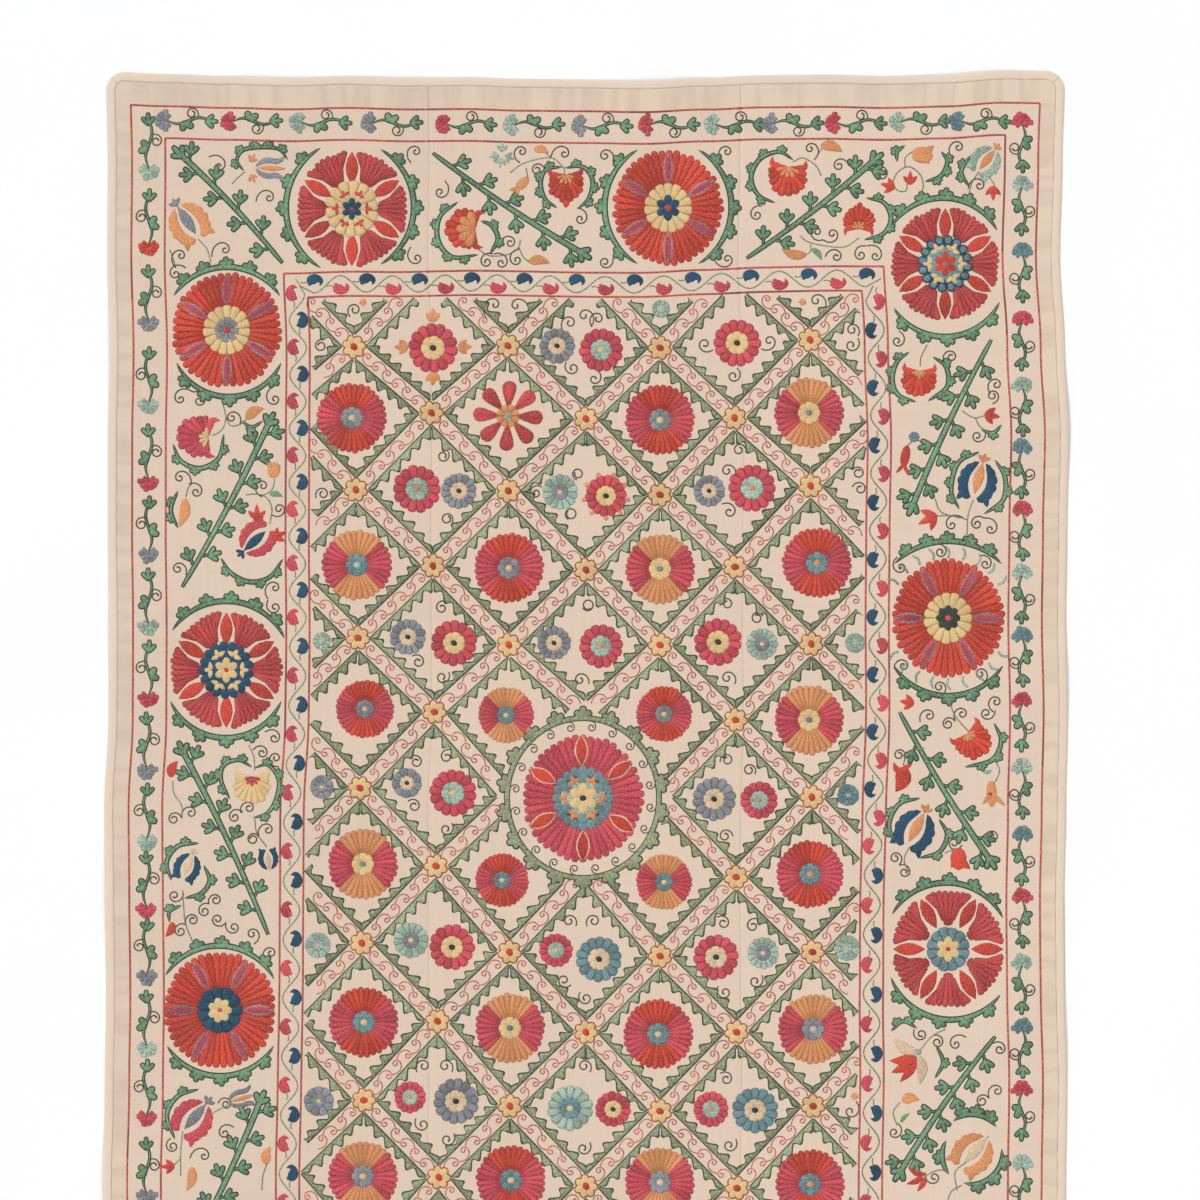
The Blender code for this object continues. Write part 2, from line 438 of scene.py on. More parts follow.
# The binding's folded section: share of its width from the inside out, and height above the underside
BINDING_FOLD = (
    (0.00, 0.0019),
    (0.06, 0.0027),
    (0.22, 0.0031),
    (0.50, 0.0032),
    (0.74, 0.0030),
    (0.90, 0.0023),
    (0.98, 0.0012),
    (1.00, 0.0004),
)


def binding_line(side):
    """A binding's centre stations as (corner or edge centre, outward direction), from mitre to mitre."""
    slack = GAP / 2 / (CORNER_RADIUS - BINDING_WIDTH)
    angles = np.linspace(0, math.pi / 4 - slack, CORNER_STEPS // 2 + 1)
    half_width, half_length = WIDTH / 2 - CORNER_RADIUS, LENGTH / 2 - CORNER_RADIUS
    reach, level = (half_width, half_length) if side in ("top", "bottom") else (half_length, half_width)
    count = round(2 * reach / ROW_STEP)
    corner = np.full(len(angles) - 1, reach)
    along = np.concatenate((-corner, np.linspace(-reach, reach, count + 1), corner))
    round_corner = np.concatenate((-angles[::-1][:-1], np.zeros(count + 1), angles[1:]))
    out_along, out_level = np.sin(round_corner), np.cos(round_corner)
    sign = 1 if side in ("top", "right") else -1
    if side in ("top", "bottom"):
        return along, np.full_like(along, sign * level), out_along, sign * out_level
    return np.full_like(along, sign * level), along, sign * out_level, out_along


def binding(side, material):
    """One length of folded binding."""
    base_x, base_y, out_x, out_y = binding_line(side)
    fold = np.array(BINDING_FOLD)
    piece, column, row = add_grid(f"suzani_binding_{side}", len(fold) - 1, len(base_x) - 1)
    share, height = fold[column, 0], fold[column, 1]
    reach = CORNER_RADIUS - BINDING_WIDTH * (1 - share)
    cut_x = base_x[row] + out_x[row] * reach
    cut_y = base_y[row] + out_y[row] * reach
    x, y = lay(cut_x, cut_y)
    tucks = 0.00018 * np.sin(210 * (cut_x + cut_y) + 3 * np.sin(23 * (cut_x - cut_y)))
    z = rise(x, y) + height + tucks * np.sin(math.pi * share)
    shape_grid(piece, np.stack((x, y, z), axis=1), np.stack((cut_x, cut_y), axis=1))
    bpy.ops.object.mode_set(mode="EDIT")
    bpy.ops.mesh.select_all(action="SELECT")
    bpy.ops.mesh.normals_make_consistent(inside=False)
    bpy.ops.object.mode_set(mode="OBJECT")
    if piece.data.polygons[len(piece.data.polygons) // 2].normal.z < 0:
        piece.data.flip_normals()
    bpy.ops.object.mode_set(mode="EDIT")
    bpy.ops.mesh.select_all(action="DESELECT")
    bpy.ops.mesh.select_non_manifold(extend=False)
    bpy.ops.mesh.extrude_region()
    bpy.ops.object.mode_set(mode="OBJECT")
    for vertex in piece.data.vertices:
        if vertex.select:
            x, y = np.array([vertex.co.x]), np.array([vertex.co.y])
            vertex.co.z = float(rise(x, y)[0]) + BINDING_CLEARANCE
    bpy.ops.object.mode_set(mode="EDIT")
    bpy.ops.mesh.edge_face_add()
    bpy.ops.object.mode_set(mode="OBJECT")
    bpy.ops.object.shade_smooth_by_angle(angle=SMOOTH_ANGLE)
    finish_piece(piece, material, f"binding_{side}")


# Stitching

# A shape's cross-section: across from its right edge to its left, and height over the cloth in metres
CORD = np.array(((-1.0, -0.0001), (0.0, 0.0007), (1.0, -0.0001)))
EDGING = np.array(((-1.0, -0.0001), (-0.85, 0.00028), (0.85, 0.00028), (1.0, -0.0001)))
FILL = np.array(((-1.0, -0.0001), (-0.72, 0.00062), (0.72, 0.00062), (1.0, -0.0001)))

# A shape's outline: share of its length, and share of its half width
LEAF = np.array(((0.0, 0.35), (0.2, 0.86), (0.45, 1.0), (0.75, 0.66), (1.0, 0.05)))
FINGER = np.array(((0.0, 0.6), (0.25, 0.82), (0.6, 1.0), (0.86, 0.8), (1.0, 0.25)))
ROUND = np.array(((0.0, 0.4), (0.15, 0.8), (0.42, 1.0), (0.72, 0.93), (0.92, 0.55), (1.0, 0.08)))
DISC = np.array(((0.0, 0.08), (0.1, 0.6), (0.3, 0.92), (0.5, 1.0), (0.7, 0.92), (0.9, 0.6), (1.0, 0.08)))
LENS = np.array(((0.0, 0.04), (0.15, 0.5), (0.35, 0.9), (0.55, 1.0), (0.78, 0.72), (1.0, 0.04)))
DROP = np.array(((0.0, 0.2), (0.3, 0.62), (0.6, 0.95), (0.8, 1.0), (0.94, 0.7), (1.0, 0.1)))

RIM = 1.25
CURVE_STEP = 3.2


class Spot:
    """A place on the chart, where a motif is drawn in its own squares: forwards, and to its right."""

    def __init__(self, x, y, turn=0.0, size=1.0, flip=False, half_turn=False):
        c, s = math.cos(math.radians(turn)) * size, math.sin(math.radians(turn)) * size
        self.origin = np.array((x, y), float)
        self.matrix = np.array(((c, s), (-s, c)))
        self.size = size
        self.flip = flip
        self.half_turn = half_turn
        if flip:
            self.matrix[1] *= -1

    def chart(self, points):
        return np.asarray(points, float) @ self.matrix + self.origin

    def at(self, x, y, turn=0.0, size=1.0, flip=False):
        """A spot within this one."""
        made = Spot(0, 0, turn, size, flip, self.half_turn)
        made.origin = self.chart((x, y))
        made.matrix = made.matrix @ self.matrix
        made.size = size * self.size
        made.flip = flip != self.flip
        return made


CHART = Spot(0, 0)


def smooth(points, step=CURVE_STEP):
    """A smooth curve through points, divided about every step."""
    p = np.asarray(points, float)
    p = np.vstack((2 * p[0] - p[1], p, 2 * p[-1] - p[-2]))
    made = []
    for a, b, c, d in zip(p, p[1:], p[2:], p[3:]):
        count = max(2, int(round(np.hypot(*(c - b)) / step)))
        t = (np.arange(count) / count)[:, None]
        square, cube = 2 * a - 5 * b + 4 * c - d, 3 * b - a - 3 * c + d
        made.append(0.5 * (2 * b + (c - a) * t + square * t**2 + cube * t**3))
    made.append(p[-2][None])
    return np.vstack(made)


class Needle:
    """Gathers stitched shapes by thread, and sews each thread's shapes as one mesh."""

    def __init__(self):
        self.shapes = {}
        self.random = np.random.default_rng(7)
        self.known = {}

    def _faces(self, stations, points, closed):
        key = (stations, points, closed)
        if key not in self.known:
            s = np.arange(stations if closed else stations - 1)[:, None]
            k = np.arange(points)[None, :]
            after, beside = (s + 1) % stations, (k + 1) % points
            quads = np.stack(
                (s * points + k, after * points + k, after * points + beside, s * points + beside), axis=-1
            ).reshape(-1, 4)
            last = (stations - 1) * points
            caps = [] if closed else [np.arange(points), last + np.arange(points)[::-1]]
            self.known[key] = (quads, np.array(caps, dtype=int).reshape(-1, points))
        return self.known[key]

    def band(self, thread, spot, spine, left, right=None, section=FILL, lift=0.0, closed=False, tone=None):
        """A raised band along a spine. left and right are its half widths on either side."""
        points = spot.chart(spine)
        right = left if right is None else right
        left = np.broadcast_to(np.asarray(left, float), len(points)) * spot.size
        right = np.broadcast_to(np.asarray(right, float), len(points)) * spot.size
        if spot.flip:
            left, right = right, left
        if closed:
            ahead = np.roll(points, -1, axis=0) - np.roll(points, 1, axis=0)
        else:
            ahead = np.gradient(points, axis=0)
        ahead /= np.maximum(np.hypot(ahead[:, 0], ahead[:, 1]), 1e-9)[:, None]
        side = np.stack((ahead[:, 1], -ahead[:, 0]), axis=1)
        across, height = section[:, 0], section[:, 1]
        half = np.where(across > 0, left[:, None], right[:, None]) * across
        flat = points[:, None] + side[:, None] * half[:, :, None]
        width = left + right
        share = np.clip(width / (0.6 * width.max()), 0.3, 1)
        z = np.where(height > 0, height * share[:, None] + lift, height)
        steps = np.hypot(*np.diff(points, axis=0, prepend=points[:1]).T)
        along = np.broadcast_to(np.cumsum(steps)[:, None], half.shape)
        quads, caps = self._faces(len(points), len(across), closed)
        if tone is None:
            tone = self.random.uniform(0, 1)
        self.shapes.setdefault(thread, []).append(
            (flat.reshape(-1, 2), z.ravel(), half.ravel(), along.ravel(), quads, caps, tone, spot.half_turn)
        )

    def cord(self, thread, spot, points, width, ends=(1.0, 1.0)):
        """A line of stitches through points that already lie close together."""
        t = np.linspace(0, 1, len(points))
        half = width / 2 * np.interp(t, (0, 0.25, 0.75, 1), (ends[0], 1, 1, ends[1]))
        self.band(thread, spot, points, half, section=CORD)

    def lobe(self, thread, spot, length, width, rim=None, shape=LEAF, lift=0.0):
        """A petal or leaf from the spot forwards, with an edging of another thread round it."""
        t, w = shape[:, 0], shape[:, 1]
        if rim:
            spine = np.stack((t * (length + 1.6 * RIM) - 0.8 * RIM, np.zeros_like(t)), axis=1)
            self.band(rim, spot, spine, w * width / 2 + RIM * 0.9, section=EDGING, lift=lift)
            lift += 0.00015
        spine = np.stack((t * length, np.zeros_like(t)), axis=1)
        lift += self.random.uniform(0, 0.00012)
        self.band(thread, spot, spine, w * width / 2, lift=lift)

    def dot(self, thread, spot, radius, lift=0.0):
        self.lobe(thread, spot.at(-radius, 0), 2 * radius, 2 * radius, shape=DISC, lift=lift)

    def sew(self, thread):
        """Joins a thread's shapes in one mesh that lies on the cloth."""
        shapes = self.shapes[thread]
        flat = np.concatenate([shape[0] for shape in shapes])
        sizes = [len(shape[0]) for shape in shapes]
        starts = np.concatenate(([0], np.cumsum(sizes)[:-1]))
        turned = np.repeat([shape[7] for shape in shapes], sizes)
        tone = np.repeat([shape[6] for shape in shapes], sizes)
        x, y = chart_to_cloth(flat, turned)
        z = cloth_top(x, y) + np.concatenate([shape[1] for shape in shapes])
        rows = np.stack([np.concatenate([shape[part] for shape in shapes]) for part in (2, 3)], axis=1)
        quads = np.concatenate([shape[4] + start for shape, start in zip(shapes, starts)])
        by_size = {4: [quads]}
        for shape, start in zip(shapes, starts):
            if len(shape[5]):
                by_size.setdefault(shape[5].shape[1], []).append(shape[5] + start)
        corners = [np.concatenate(faces) for faces in by_size.values()]
        loops = np.concatenate([faces.ravel() for faces in corners])
        totals = np.concatenate([np.full(len(faces), faces.shape[1]) for faces in corners])
        mesh = bpy.data.meshes.new(f"embroidery_{thread}")
        mesh.vertices.add(len(x))
        mesh.vertices.foreach_set("co", np.stack((x, y, z), axis=1).ravel())
        mesh.loops.add(len(loops))
        mesh.loops.foreach_set("vertex_index", loops)
        mesh.polygons.add(len(totals))
        mesh.polygons.foreach_set("loop_start", np.concatenate(([0], np.cumsum(totals)[:-1])))
        mesh.update(calc_edges=True)
        layer = mesh.uv_layers.new(name="rows")
        layer.data.foreach_set("uv", (rows[loops] * SQUARE).ravel())
        mesh.attributes.new("tone", "FLOAT", "POINT").data.foreach_set("value", tone)
        mesh.shade_smooth()
        piece = bpy.data.objects.new(mesh.name, mesh)
        bpy.context.scene.collection.objects.link(piece)
        mesh.materials.append(silk(f"silk_{thread}", THREADS[thread]))
        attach(piece, "root")


needle = Needle()

THREADS = {
    "line_red": (200, 84, 74),
    "crimson": (204, 74, 84),
    "madder": (190, 68, 66),
    "brick": (206, 68, 48),
    "petal_red": (197, 64, 46),
    "plum": (176, 70, 84),
    "pale_edge": (160, 118, 120),
    "yellow": (253, 215, 150),
    "apricot": (230, 152, 96),
    "flower_edge": (176, 92, 64),
    "navy": (25, 72, 98),
    "grey_blue": (134, 136, 141),
    "teal": (106, 136, 140),
    "mint": (162, 184, 166),
    "beige": (232, 202, 164),
    "ink": (48, 50, 52),
    "leaf_green": (112, 150, 114),
    "leaf_edge": (46, 62, 49),
    "olive": (150, 158, 122),
    "olive_edge": (62, 74, 52),
    "tendril": (84, 78, 64),
    "vine": (132, 144, 108),
    "scroll": (204, 104, 92),
}


# Motifs


# A row of stitching: share of its length, and share of its half width
ROW = np.array(((0.0, 1.0), (0.5, 1.0), (0.88, 0.98), (0.96, 0.74), (1.0, 0.3)))
PETAL_ROW = np.array(((0.0, 1.0), (0.5, 1.0), (0.74, 1.0), (0.87, 0.86), (0.95, 0.58), (1.0, 0.2)))
SHADE = -1.0


def stitch_row(thread, spot, start, end, half_start, half_end, lift=0.0, furrow=0.5, shape=ROW):
    """A row of stitching from start to end on the chart, over a wider band of the same thread in painted
    shade, which shows beside it as the shade between rows.
    """
    start, end = np.asarray(start, float), np.asarray(end, float)
    t = shape[:, 0]
    spine = start + (end - start) * t[:, None]
    half = (half_start + (half_end - half_start) * t) * shape[:, 1]
    # The wider band beneath is coloured as painted shade.
    needle.band(thread, spot, spine, half + 0.35, section=EDGING, lift=lift, tone=SHADE)
    needle.band(thread, spot, spine, np.maximum(half - furrow / 2, half * 0.55), lift=lift)


def ribs(thread, spot, count, inner, outer, first=0.0, sweep=360.0, lift=0.0, furrow=0.5, shape=ROW):
    """Rows of stitching fanned out side by side, each with a rounded end. A fan faces forwards."""
    step = sweep / count
    half = math.tan(math.radians(step / 2))
    for index in range(count):
        end = outer * needle.random.uniform(0.975, 1.02)
        turn = first - sweep / 2 + (index + 0.5) * step
        at = spot.at(0, 0, turn)
        stitch_row(thread, at, (inner, 0), (end, 0), inner * half, end * half, lift, furrow, shape)


def scallops(thread, spot, count, radius, lift):
    """A heart of overlapping round petals, each over an edge of painted shade."""
    for index in range(count):
        petal = spot.at(0, 0, index * 360 / count)
        half = radius * 1.12 * math.sin(math.pi / count)
        start = (radius * 0.1, 0)
        stitch_row(thread, petal, start, (radius, 0), half * 0.5, half, lift, 0.2, PETAL_ROW)


def heart_of(spot, radius, rows):
    """A rosette's middle, from the outside in. Columns: kind, thread, count, how far out, size, turn."""
    for layer, (kind, thread, count, out, size, turn) in enumerate(rows):
        lift = 0.0003 + 0.00014 * layer
        if kind == "ring":
            ribs(thread, spot, count, radius * out, radius * size, turn, lift=lift, furrow=0.22)
            continue
        for index in range(count):
            place = spot.at(0, 0, turn + index * 360 / count).at(radius * out, 0)
            if kind == "dots":
                needle.dot(thread, place, radius * size, lift)
            elif kind == "petals":
                needle.lobe(thread, place, radius * size, radius * size * 0.86, shape=ROUND, lift=lift)
            else:
                length = radius * size
                for turn_out in (-80, 0, 80):
                    needle.lobe(thread, place.at(0, 0, turn_out), length, length * 0.7, lift=lift)


HEARTS = {
    "star": (
        ("ring", "yellow", 14, 0.05, 0.48, 0),
        ("stars", "crimson", 6, 0.26, 0.115, 30),
        ("petals", "navy", 6, 0.03, 0.16, 0),
        ("dots", "petal_red", 1, 0, 0.045, 0),
    ),
    "teal_star": (
        ("dots", "navy", 1, 0, 0.41, 0),
        ("dots", "navy", 16, 0.42, 0.092, 0),
        ("dots", "teal", 16, 0.42, 0.070, 0),
        ("dots", "teal", 1, 0, 0.37, 0),
        ("stars", "yellow", 6, 0.27, 0.15, 30),
        ("petals", "petal_red", 6, 0.02, 0.20, 0),
        ("dots", "grey_blue", 1, 0, 0.05, 0),
    ),
    "navy_star": (
        ("dots", "navy", 1, 0, 0.38, 0),
        ("dots", "navy", 17, 0.41, 0.085, 0),
        ("stars", "yellow", 6, 0.27, 0.145, 30),
        ("petals", "yellow", 6, 0.02, 0.20, 0),
        ("dots", "petal_red", 1, 0, 0.05, 0),
    ),
    "blue": (
        ("ring", "teal", 12, 0.05, 0.38, 0),
        ("petals", "yellow", 6, 0.02, 0.20, 30),
        ("dots", "petal_red", 1, 0, 0.05, 0),
    ),
    "grey": (
        ("ring", "yellow", 15, 0.10, 0.43, 0),
        ("ring", "grey_blue", 8, 0.03, 0.22, 0),
        ("dots", "petal_red", 1, 0, 0.065, 0),
    ),
    "yellow_navy": (
        ("ring", "yellow", 15, 0.10, 0.43, 0),
        ("petals", "navy", 6, 0.02, 0.21, 0),
        ("dots", "petal_red", 1, 0, 0.07, 0),
    ),
    "yellow_green": (
        ("ring", "yellow", 15, 0.10, 0.43, 0),
        ("petals", "leaf_edge", 8, 0.03, 0.19, 0),
        ("dots", "crimson", 1, 0, 0.06, 0),
    ),
    "navy_yellow": (
        ("ring", "navy", 11, 0.08, 0.40, 0),
        ("petals", "yellow", 7, 0.02, 0.20, 0),
        ("dots", "crimson", 1, 0, 0.05, 0),
    ),
    "medallion": (
        ("dots", "navy", 1, 0, 0.40, 0),
        ("dots", "teal", 20, 0.43, 0.082, 0),
        ("dots", "mint", 1, 0, 0.385, 0),
        ("dots", "teal", 6, 0.31, 0.10, 30),
        ("stars", "apricot", 6, 0.28, 0.13, 0),
        ("petals", "yellow", 6, 0.03, 0.22, 30),
        ("dots", "ink", 1, 0, 0.06, 0),
    ),
}


# The rows of half a fan. Columns: turn at the rim, turn at the inner end, and its share of the radius
FAN_ROWS = ((3.3, 2.3, 0.40), (9.8, 6.6, 0.42), (16.3, 10.4, 0.50), (22.6, 15.0, 0.74))
OVAL = np.array(((0.985, 0), (0, 1.03)))


def open_rosette(x, y, radius, turn, heart, half_turn=False):
    """Six pointed petals with bare cloth round them, between fans of crimson rows."""
    spot = Spot(x, y, turn, half_turn=half_turn)
    spot.matrix = spot.matrix @ OVAL
    for petal in range(6):
        fan = spot.at(0, 0, petal * 60 + 30)
        for side in (-1, 1):
            for at_rim, at_start, share in FAN_ROWS:
                rim = radius * needle.random.uniform(0.975, 1.015)
                a, b = math.radians(side * at_start), math.radians(side * at_rim)
                inner = (radius * share * math.cos(a), radius * share * math.sin(a))
                outer = (rim * math.cos(b), rim * math.sin(b))
                stitch_row("madder", fan, inner, outer, radius * share * 0.048, radius * 0.0585)
        axis = spot.at(0, 0, petal * 60)
        needle.lobe("petal_red", axis.at(radius * 0.41, 0), radius * 0.57, radius * 0.235, shape=LENS)
    heart_of(spot, radius, HEARTS[heart])


def closed_rosette(x, y, radius, turn, heart, half_turn=False):
    """Rows all round, with six slim petals of another thread laid over them."""
    spot = Spot(x, y, turn, half_turn=half_turn)
    spot.matrix = spot.matrix @ OVAL
    ribs("brick", spot, 44, radius * 0.3, radius)
    for petal in range(6):
        axis = spot.at(0, 0, petal * 60).at(radius * 0.40, 0)
        needle.lobe("pale_edge", axis, radius * 0.58, radius * 0.23, shape=LENS, lift=0.0003)
        for side in (-1, 1):
            half = axis.at(2.0, side * 0.9, side * 1.0)
            needle.lobe("plum", half, radius * 0.58 - 4, radius * 0.085, shape=LENS, lift=0.0005)
    heart_of(spot, radius, HEARTS[heart])


def trefoil(spot, size, fill="leaf_green", rim="leaf_edge"):
    """A leaf of three fingers, from the end of its stalk forwards."""
    leaf = spot.at(0, 0, 0, size)
    for turn, length in ((-42, 9.8), (42, 9.8), (0, 12.2)):
        needle.lobe(fill, leaf.at(-0.6, 0, turn), length, 4.3, rim, FINGER)


def bud(spot, size, fill="leaf_green", rim="leaf_edge"):
    """A knobbly bud on the outside of a stem."""
    leaf = spot.at(0, 0, 0, size)
    for turn, length in ((-64, 8.2), (64, 8.2), (0, 8.4)):
        needle.lobe(fill, leaf.at(0.2, 0, turn), length, 5.6, rim, ROUND)


def heart_leaf(spot):
    for turn in (-38, 38):
        needle.lobe("leaf_green", spot.at(0, 0, turn), 9.0, 6.0, "leaf_edge", ROUND)


EYE = 1.4


def tendril(spot, start, eye, hand, turns=1.45, width=1.8, thread="tendril", curl=4.8):
    """A curled tendril from its start round its eye. hand is 1 for clockwise, curl its reach halfway."""
    start, eye = np.asarray(start, float), np.asarray(eye, float)
    radius = np.hypot(*(start - eye))
    first = math.atan2(*(start - eye)[::-1])
    t = np.linspace(0, 1, max(16, int(radius * 1.9)))
    gone = turns * t
    wind = 2 * math.log((radius - EYE) / (curl - EYE))
    reach = EYE + (radius - EYE) * np.exp(-wind * gone)
    angle = first + hand * 2 * math.pi * gone
    points = eye + np.stack((reach * np.cos(angle), reach * np.sin(angle)), axis=1)
    needle.cord(thread, spot, points, width, (0.9, 1.25))


def border_tendril(x0, y0, x1, y1, hand, half_turn=False):
    """A tendril of the main border, from its start round its eye."""
    tendril(Spot(0, 0, half_turn=half_turn), (x0, y0), (x1, y1), hand)


def stem(*points, half_turn=False):
    """A thin stem through points."""
    needle.cord("vine", Spot(0, 0, half_turn=half_turn), smooth(points), 1.5)


def carnation(spot, thread):
    """The outer border's small ragged flower, opening forwards."""
    for turn, length in ((122, 8.0), (92, 10.5), (56, 9.5), (19, 10.0)):
        for side in (-1, 1):
            petal = spot.at(0.5, 0, side * turn)
            long = length * needle.random.uniform(0.9, 1.12)
            stitch_row(thread, petal, (0, 0), (long, 0), 1.2, 2.9, furrow=0.6)


def sprig(x, y, turn, length, thread, flip, half_turn=False):
    """A flower, its S-shaped stem with a heart leaf and a tendril, and a trefoil at the end."""
    spot = Spot(x, y, turn, 1.0, flip, half_turn)
    carnation(spot.at(1, 0, 180), thread)
    t = np.linspace(0, 1, 12)
    stem = np.stack((3 + t * (length - 9), 3.2 * np.sin(2 * math.pi * t * 0.95)), axis=1)
    needle.band("leaf_edge", spot, stem, np.interp(t, (0, 0.4, 1), (0.8, 2.1, 1.6)), section=EDGING)
    half = np.interp(t, (0, 0.4, 1), (0.3, 1.2, 0.8))
    needle.band("leaf_green", spot, stem, half, section=CORD, lift=0.0001)
    heart_leaf(spot.at(length * 0.42, 1.2, 75))
    tendril(spot, (length * 0.66, -2.0), (length * 0.55, -7.2), -1, 1.35)
    trefoil(spot.at(length - 7, 0.4, 2), 0.92)


def curled_leaf(spot, spine, thick, buds):
    """A tapered leaf along a curve that runs clockwise round a flower, with buds on its outside."""
    t = np.linspace(0, 1, len(spine))
    width = thick / 2 * (0.06 + 0.94 * np.sin(math.pi * t) ** 0.5)
    needle.band("leaf_edge", spot, spine, width + 0.25, section=EDGING)
    needle.band("leaf_green", spot, spine, np.maximum(width - 0.95, 0.3), lift=0.00012)
    for index in range(buds):
        at = (index + 0.8) / (buds + 0.6) * (len(spine) - 1)
        low = min(int(at), len(spine) - 2)
        ahead = spine[low + 1] - spine[low]
        x, y = spine[low] + ahead * (at - low)
        out = math.degrees(math.atan2(-ahead[0], ahead[1]))
        root = spot.at(x, y, out + 10 * math.sin(2.4 * index + x))
        bud(root.at(thick * 0.28, 0), 0.92 if thick > 5.6 else 0.66)


def border_leaf(thick, buds, points, half_turn=False):
    """A curled leaf of the main border, through points."""
    curled_leaf(Spot(0, 0, half_turn=half_turn), smooth(points), thick, buds)


def crescent(x, y, radius, middle, half, thick, buds, half_turn=False):
    """A curled leaf on a round arc."""
    spot = Spot(x, y, half_turn=half_turn)
    count = max(9, int(radius * math.radians(2 * half) / 4.5))
    angle = np.radians(np.linspace(middle - half, middle + half, count))
    curled_leaf(spot, radius * np.stack((np.cos(angle), np.sin(angle)), axis=1), thick, buds)


def branch(x0, y0, x1, y1, left, right, half_turn=False):
    """A straight branch from its plain end to its leafy one, with leaves on stalks down both sides."""
    length = math.hypot(x1 - x0, y1 - y0)
    spot = Spot(x0, y0, math.degrees(math.atan2(y1 - y0, x1 - x0)), half_turn=half_turn)
    t = np.linspace(0, 1, int(length / 6))
    bow = 3.0 * np.sin(math.pi * t)
    spine = np.stack((t * length, bow), axis=1)
    width = np.interp(t, (0, 0.06, 0.5, 1), (1.9, 2.7, 3.3, 3.6))
    needle.band("leaf_edge", spot, spine, width, section=EDGING)
    needle.band("leaf_green", spot, spine, width - 1.15, lift=0.00012)
    trefoil(spot.at(length - 6, 0), 1.12)
    for side, count, late in ((-1, left, 0.0), (1, right, 0.45)):
        for index in range(count):
            share = 0.13 + 0.80 * (index + late) / max(count - 0.45, 1)
            root = spot.at(share * length, 3.0 * math.sin(math.pi * share) + side * 2.2, side * 54)
            stalk = smooth(((0, 0), (3.5, -0.6 * side), (7.5, 0)), 2.5)
            needle.band("leaf_edge", root, stalk, 1.9, section=EDGING)
            needle.band("leaf_green", root, stalk, 0.85, section=CORD, lift=0.0001)
            trefoil(root.at(6.8, 0, -side * 6), 1.0)


def fan_flower(x, y, facing, radius, thread, heart, heart_share, tail, half_turn=False):
    """A carnation from the side: a nearly round body of rows from its root, and a horn at either side."""
    spot = Spot(x, y, facing, half_turn=half_turn)
    root = spot.at(-0.45 * radius, 0)
    count = 12
    for index in range(count):
        turn = (index + 0.5) * 204 / count - 102
        c, s = math.cos(math.radians(turn)), math.sin(math.radians(turn))
        end = radius * (0.45 * c + math.sqrt(1 - 0.2 * s * s)) * needle.random.uniform(0.94, 1.05)
        at, start = root.at(0, 0, turn), (0.1 * radius, 0)
        stitch_row(thread, at, start, (end, 0), 0.04 * radius, 0.155 * end, furrow=0.6)
    for side in (-1, 1):
        horn = np.array(((0.0, 0.1), (0.0, 0.5), (-0.16, 0.84), (-0.52, 0.86))) * (radius, side * radius)
        horn = smooth(horn, 2.5)
        width = np.interp(np.linspace(0, 1, len(horn)), (0, 0.4, 0.75, 1), (0.12, 0.22, 0.14, 0.01))
        needle.band(thread, root, horn, width * radius, lift=0.0001)
    if tail:
        needle.lobe(thread, spot.at(radius * 0.9, 0, 8), tail, radius * 0.4)
    for turn in np.linspace(-70, 70, 5):
        reach = radius * 1.5 * heart_share * (1.0 if heart_share > 0.4 else needle.random.uniform(0.85, 1.2))
        width = radius * (0.44 if heart_share > 0.4 else 0.2)
        needle.lobe(heart, root.at(-1, 0, turn), reach, width, shape=DROP, lift=0.0006)


def pomegranate(x, y, turn, length, shell, core, crown, half_turn=False):
    """A spindle core in bare cloth, between two scalloped shells, with a crown at its tip."""
    spot = Spot(x, y, turn, length / 40, half_turn=half_turn)
    for side in (-1, 1):
        shell_line = ((17, 3.2), (13, 7.2), (6, 11.8), (-2, 13.4), (-9, 12.4), (-15, 9.0), (-19, 4.2))
        spine = smooth(np.array(shell_line) * (1, side), 1.6)
        t = np.linspace(0, 1, len(spine))
        width = np.interp(t, (0, 0.14, 0.34, 0.55, 0.75, 0.9, 1), (0.4, 3.0, 4.7, 5.2, 4.9, 3.9, 2.4))
        outer = width * (0.84 + 0.36 * np.abs(np.sin(math.pi * 6 * t)))
        left, right = (outer, width) if side > 0 else (width, outer)
        needle.band(shell, spot, spine, left, right)
        needle.lobe(shell, spot.at(-14, side * 10.5, side * 152), 10, 6.5)
    needle.lobe(core, spot.at(-13.5, 0), 30, 10.4, shape=LENS)
    needle.band(core, spot, np.array(((13, 0), (16, 0), (20, 0))), 0.9, section=CORD)
    if crown:
        for turn_out in (-50, 0, 50):
            needle.lobe(crown, spot.at(18.5, 0, turn_out), 7.5, 3.8, shape=FINGER)


def tulip(x, y, turn, length, outer, inner, half_turn=False):
    """Two curved petals round a straight one."""
    spot = Spot(x, y, turn, length / 28, half_turn=half_turn)
    for side in (-1, 1):
        bent = ((0.5, 1.5), (5, 5.5), (12, 7.5), (20, 6.8), (25, 9.0), (27.5, 12.5))
        spine = smooth(np.array(bent) * (1, side))
        t = np.linspace(0, 1, len(spine))
        needle.band(outer, spot, spine, np.interp(t, (0, 0.25, 0.6, 0.85, 1), (1.2, 2.9, 3.1, 2.0, 0.3)))
    needle.lobe(inner, spot.at(1.5, 0), 27, 5.4, shape=LENS, lift=0.0002)


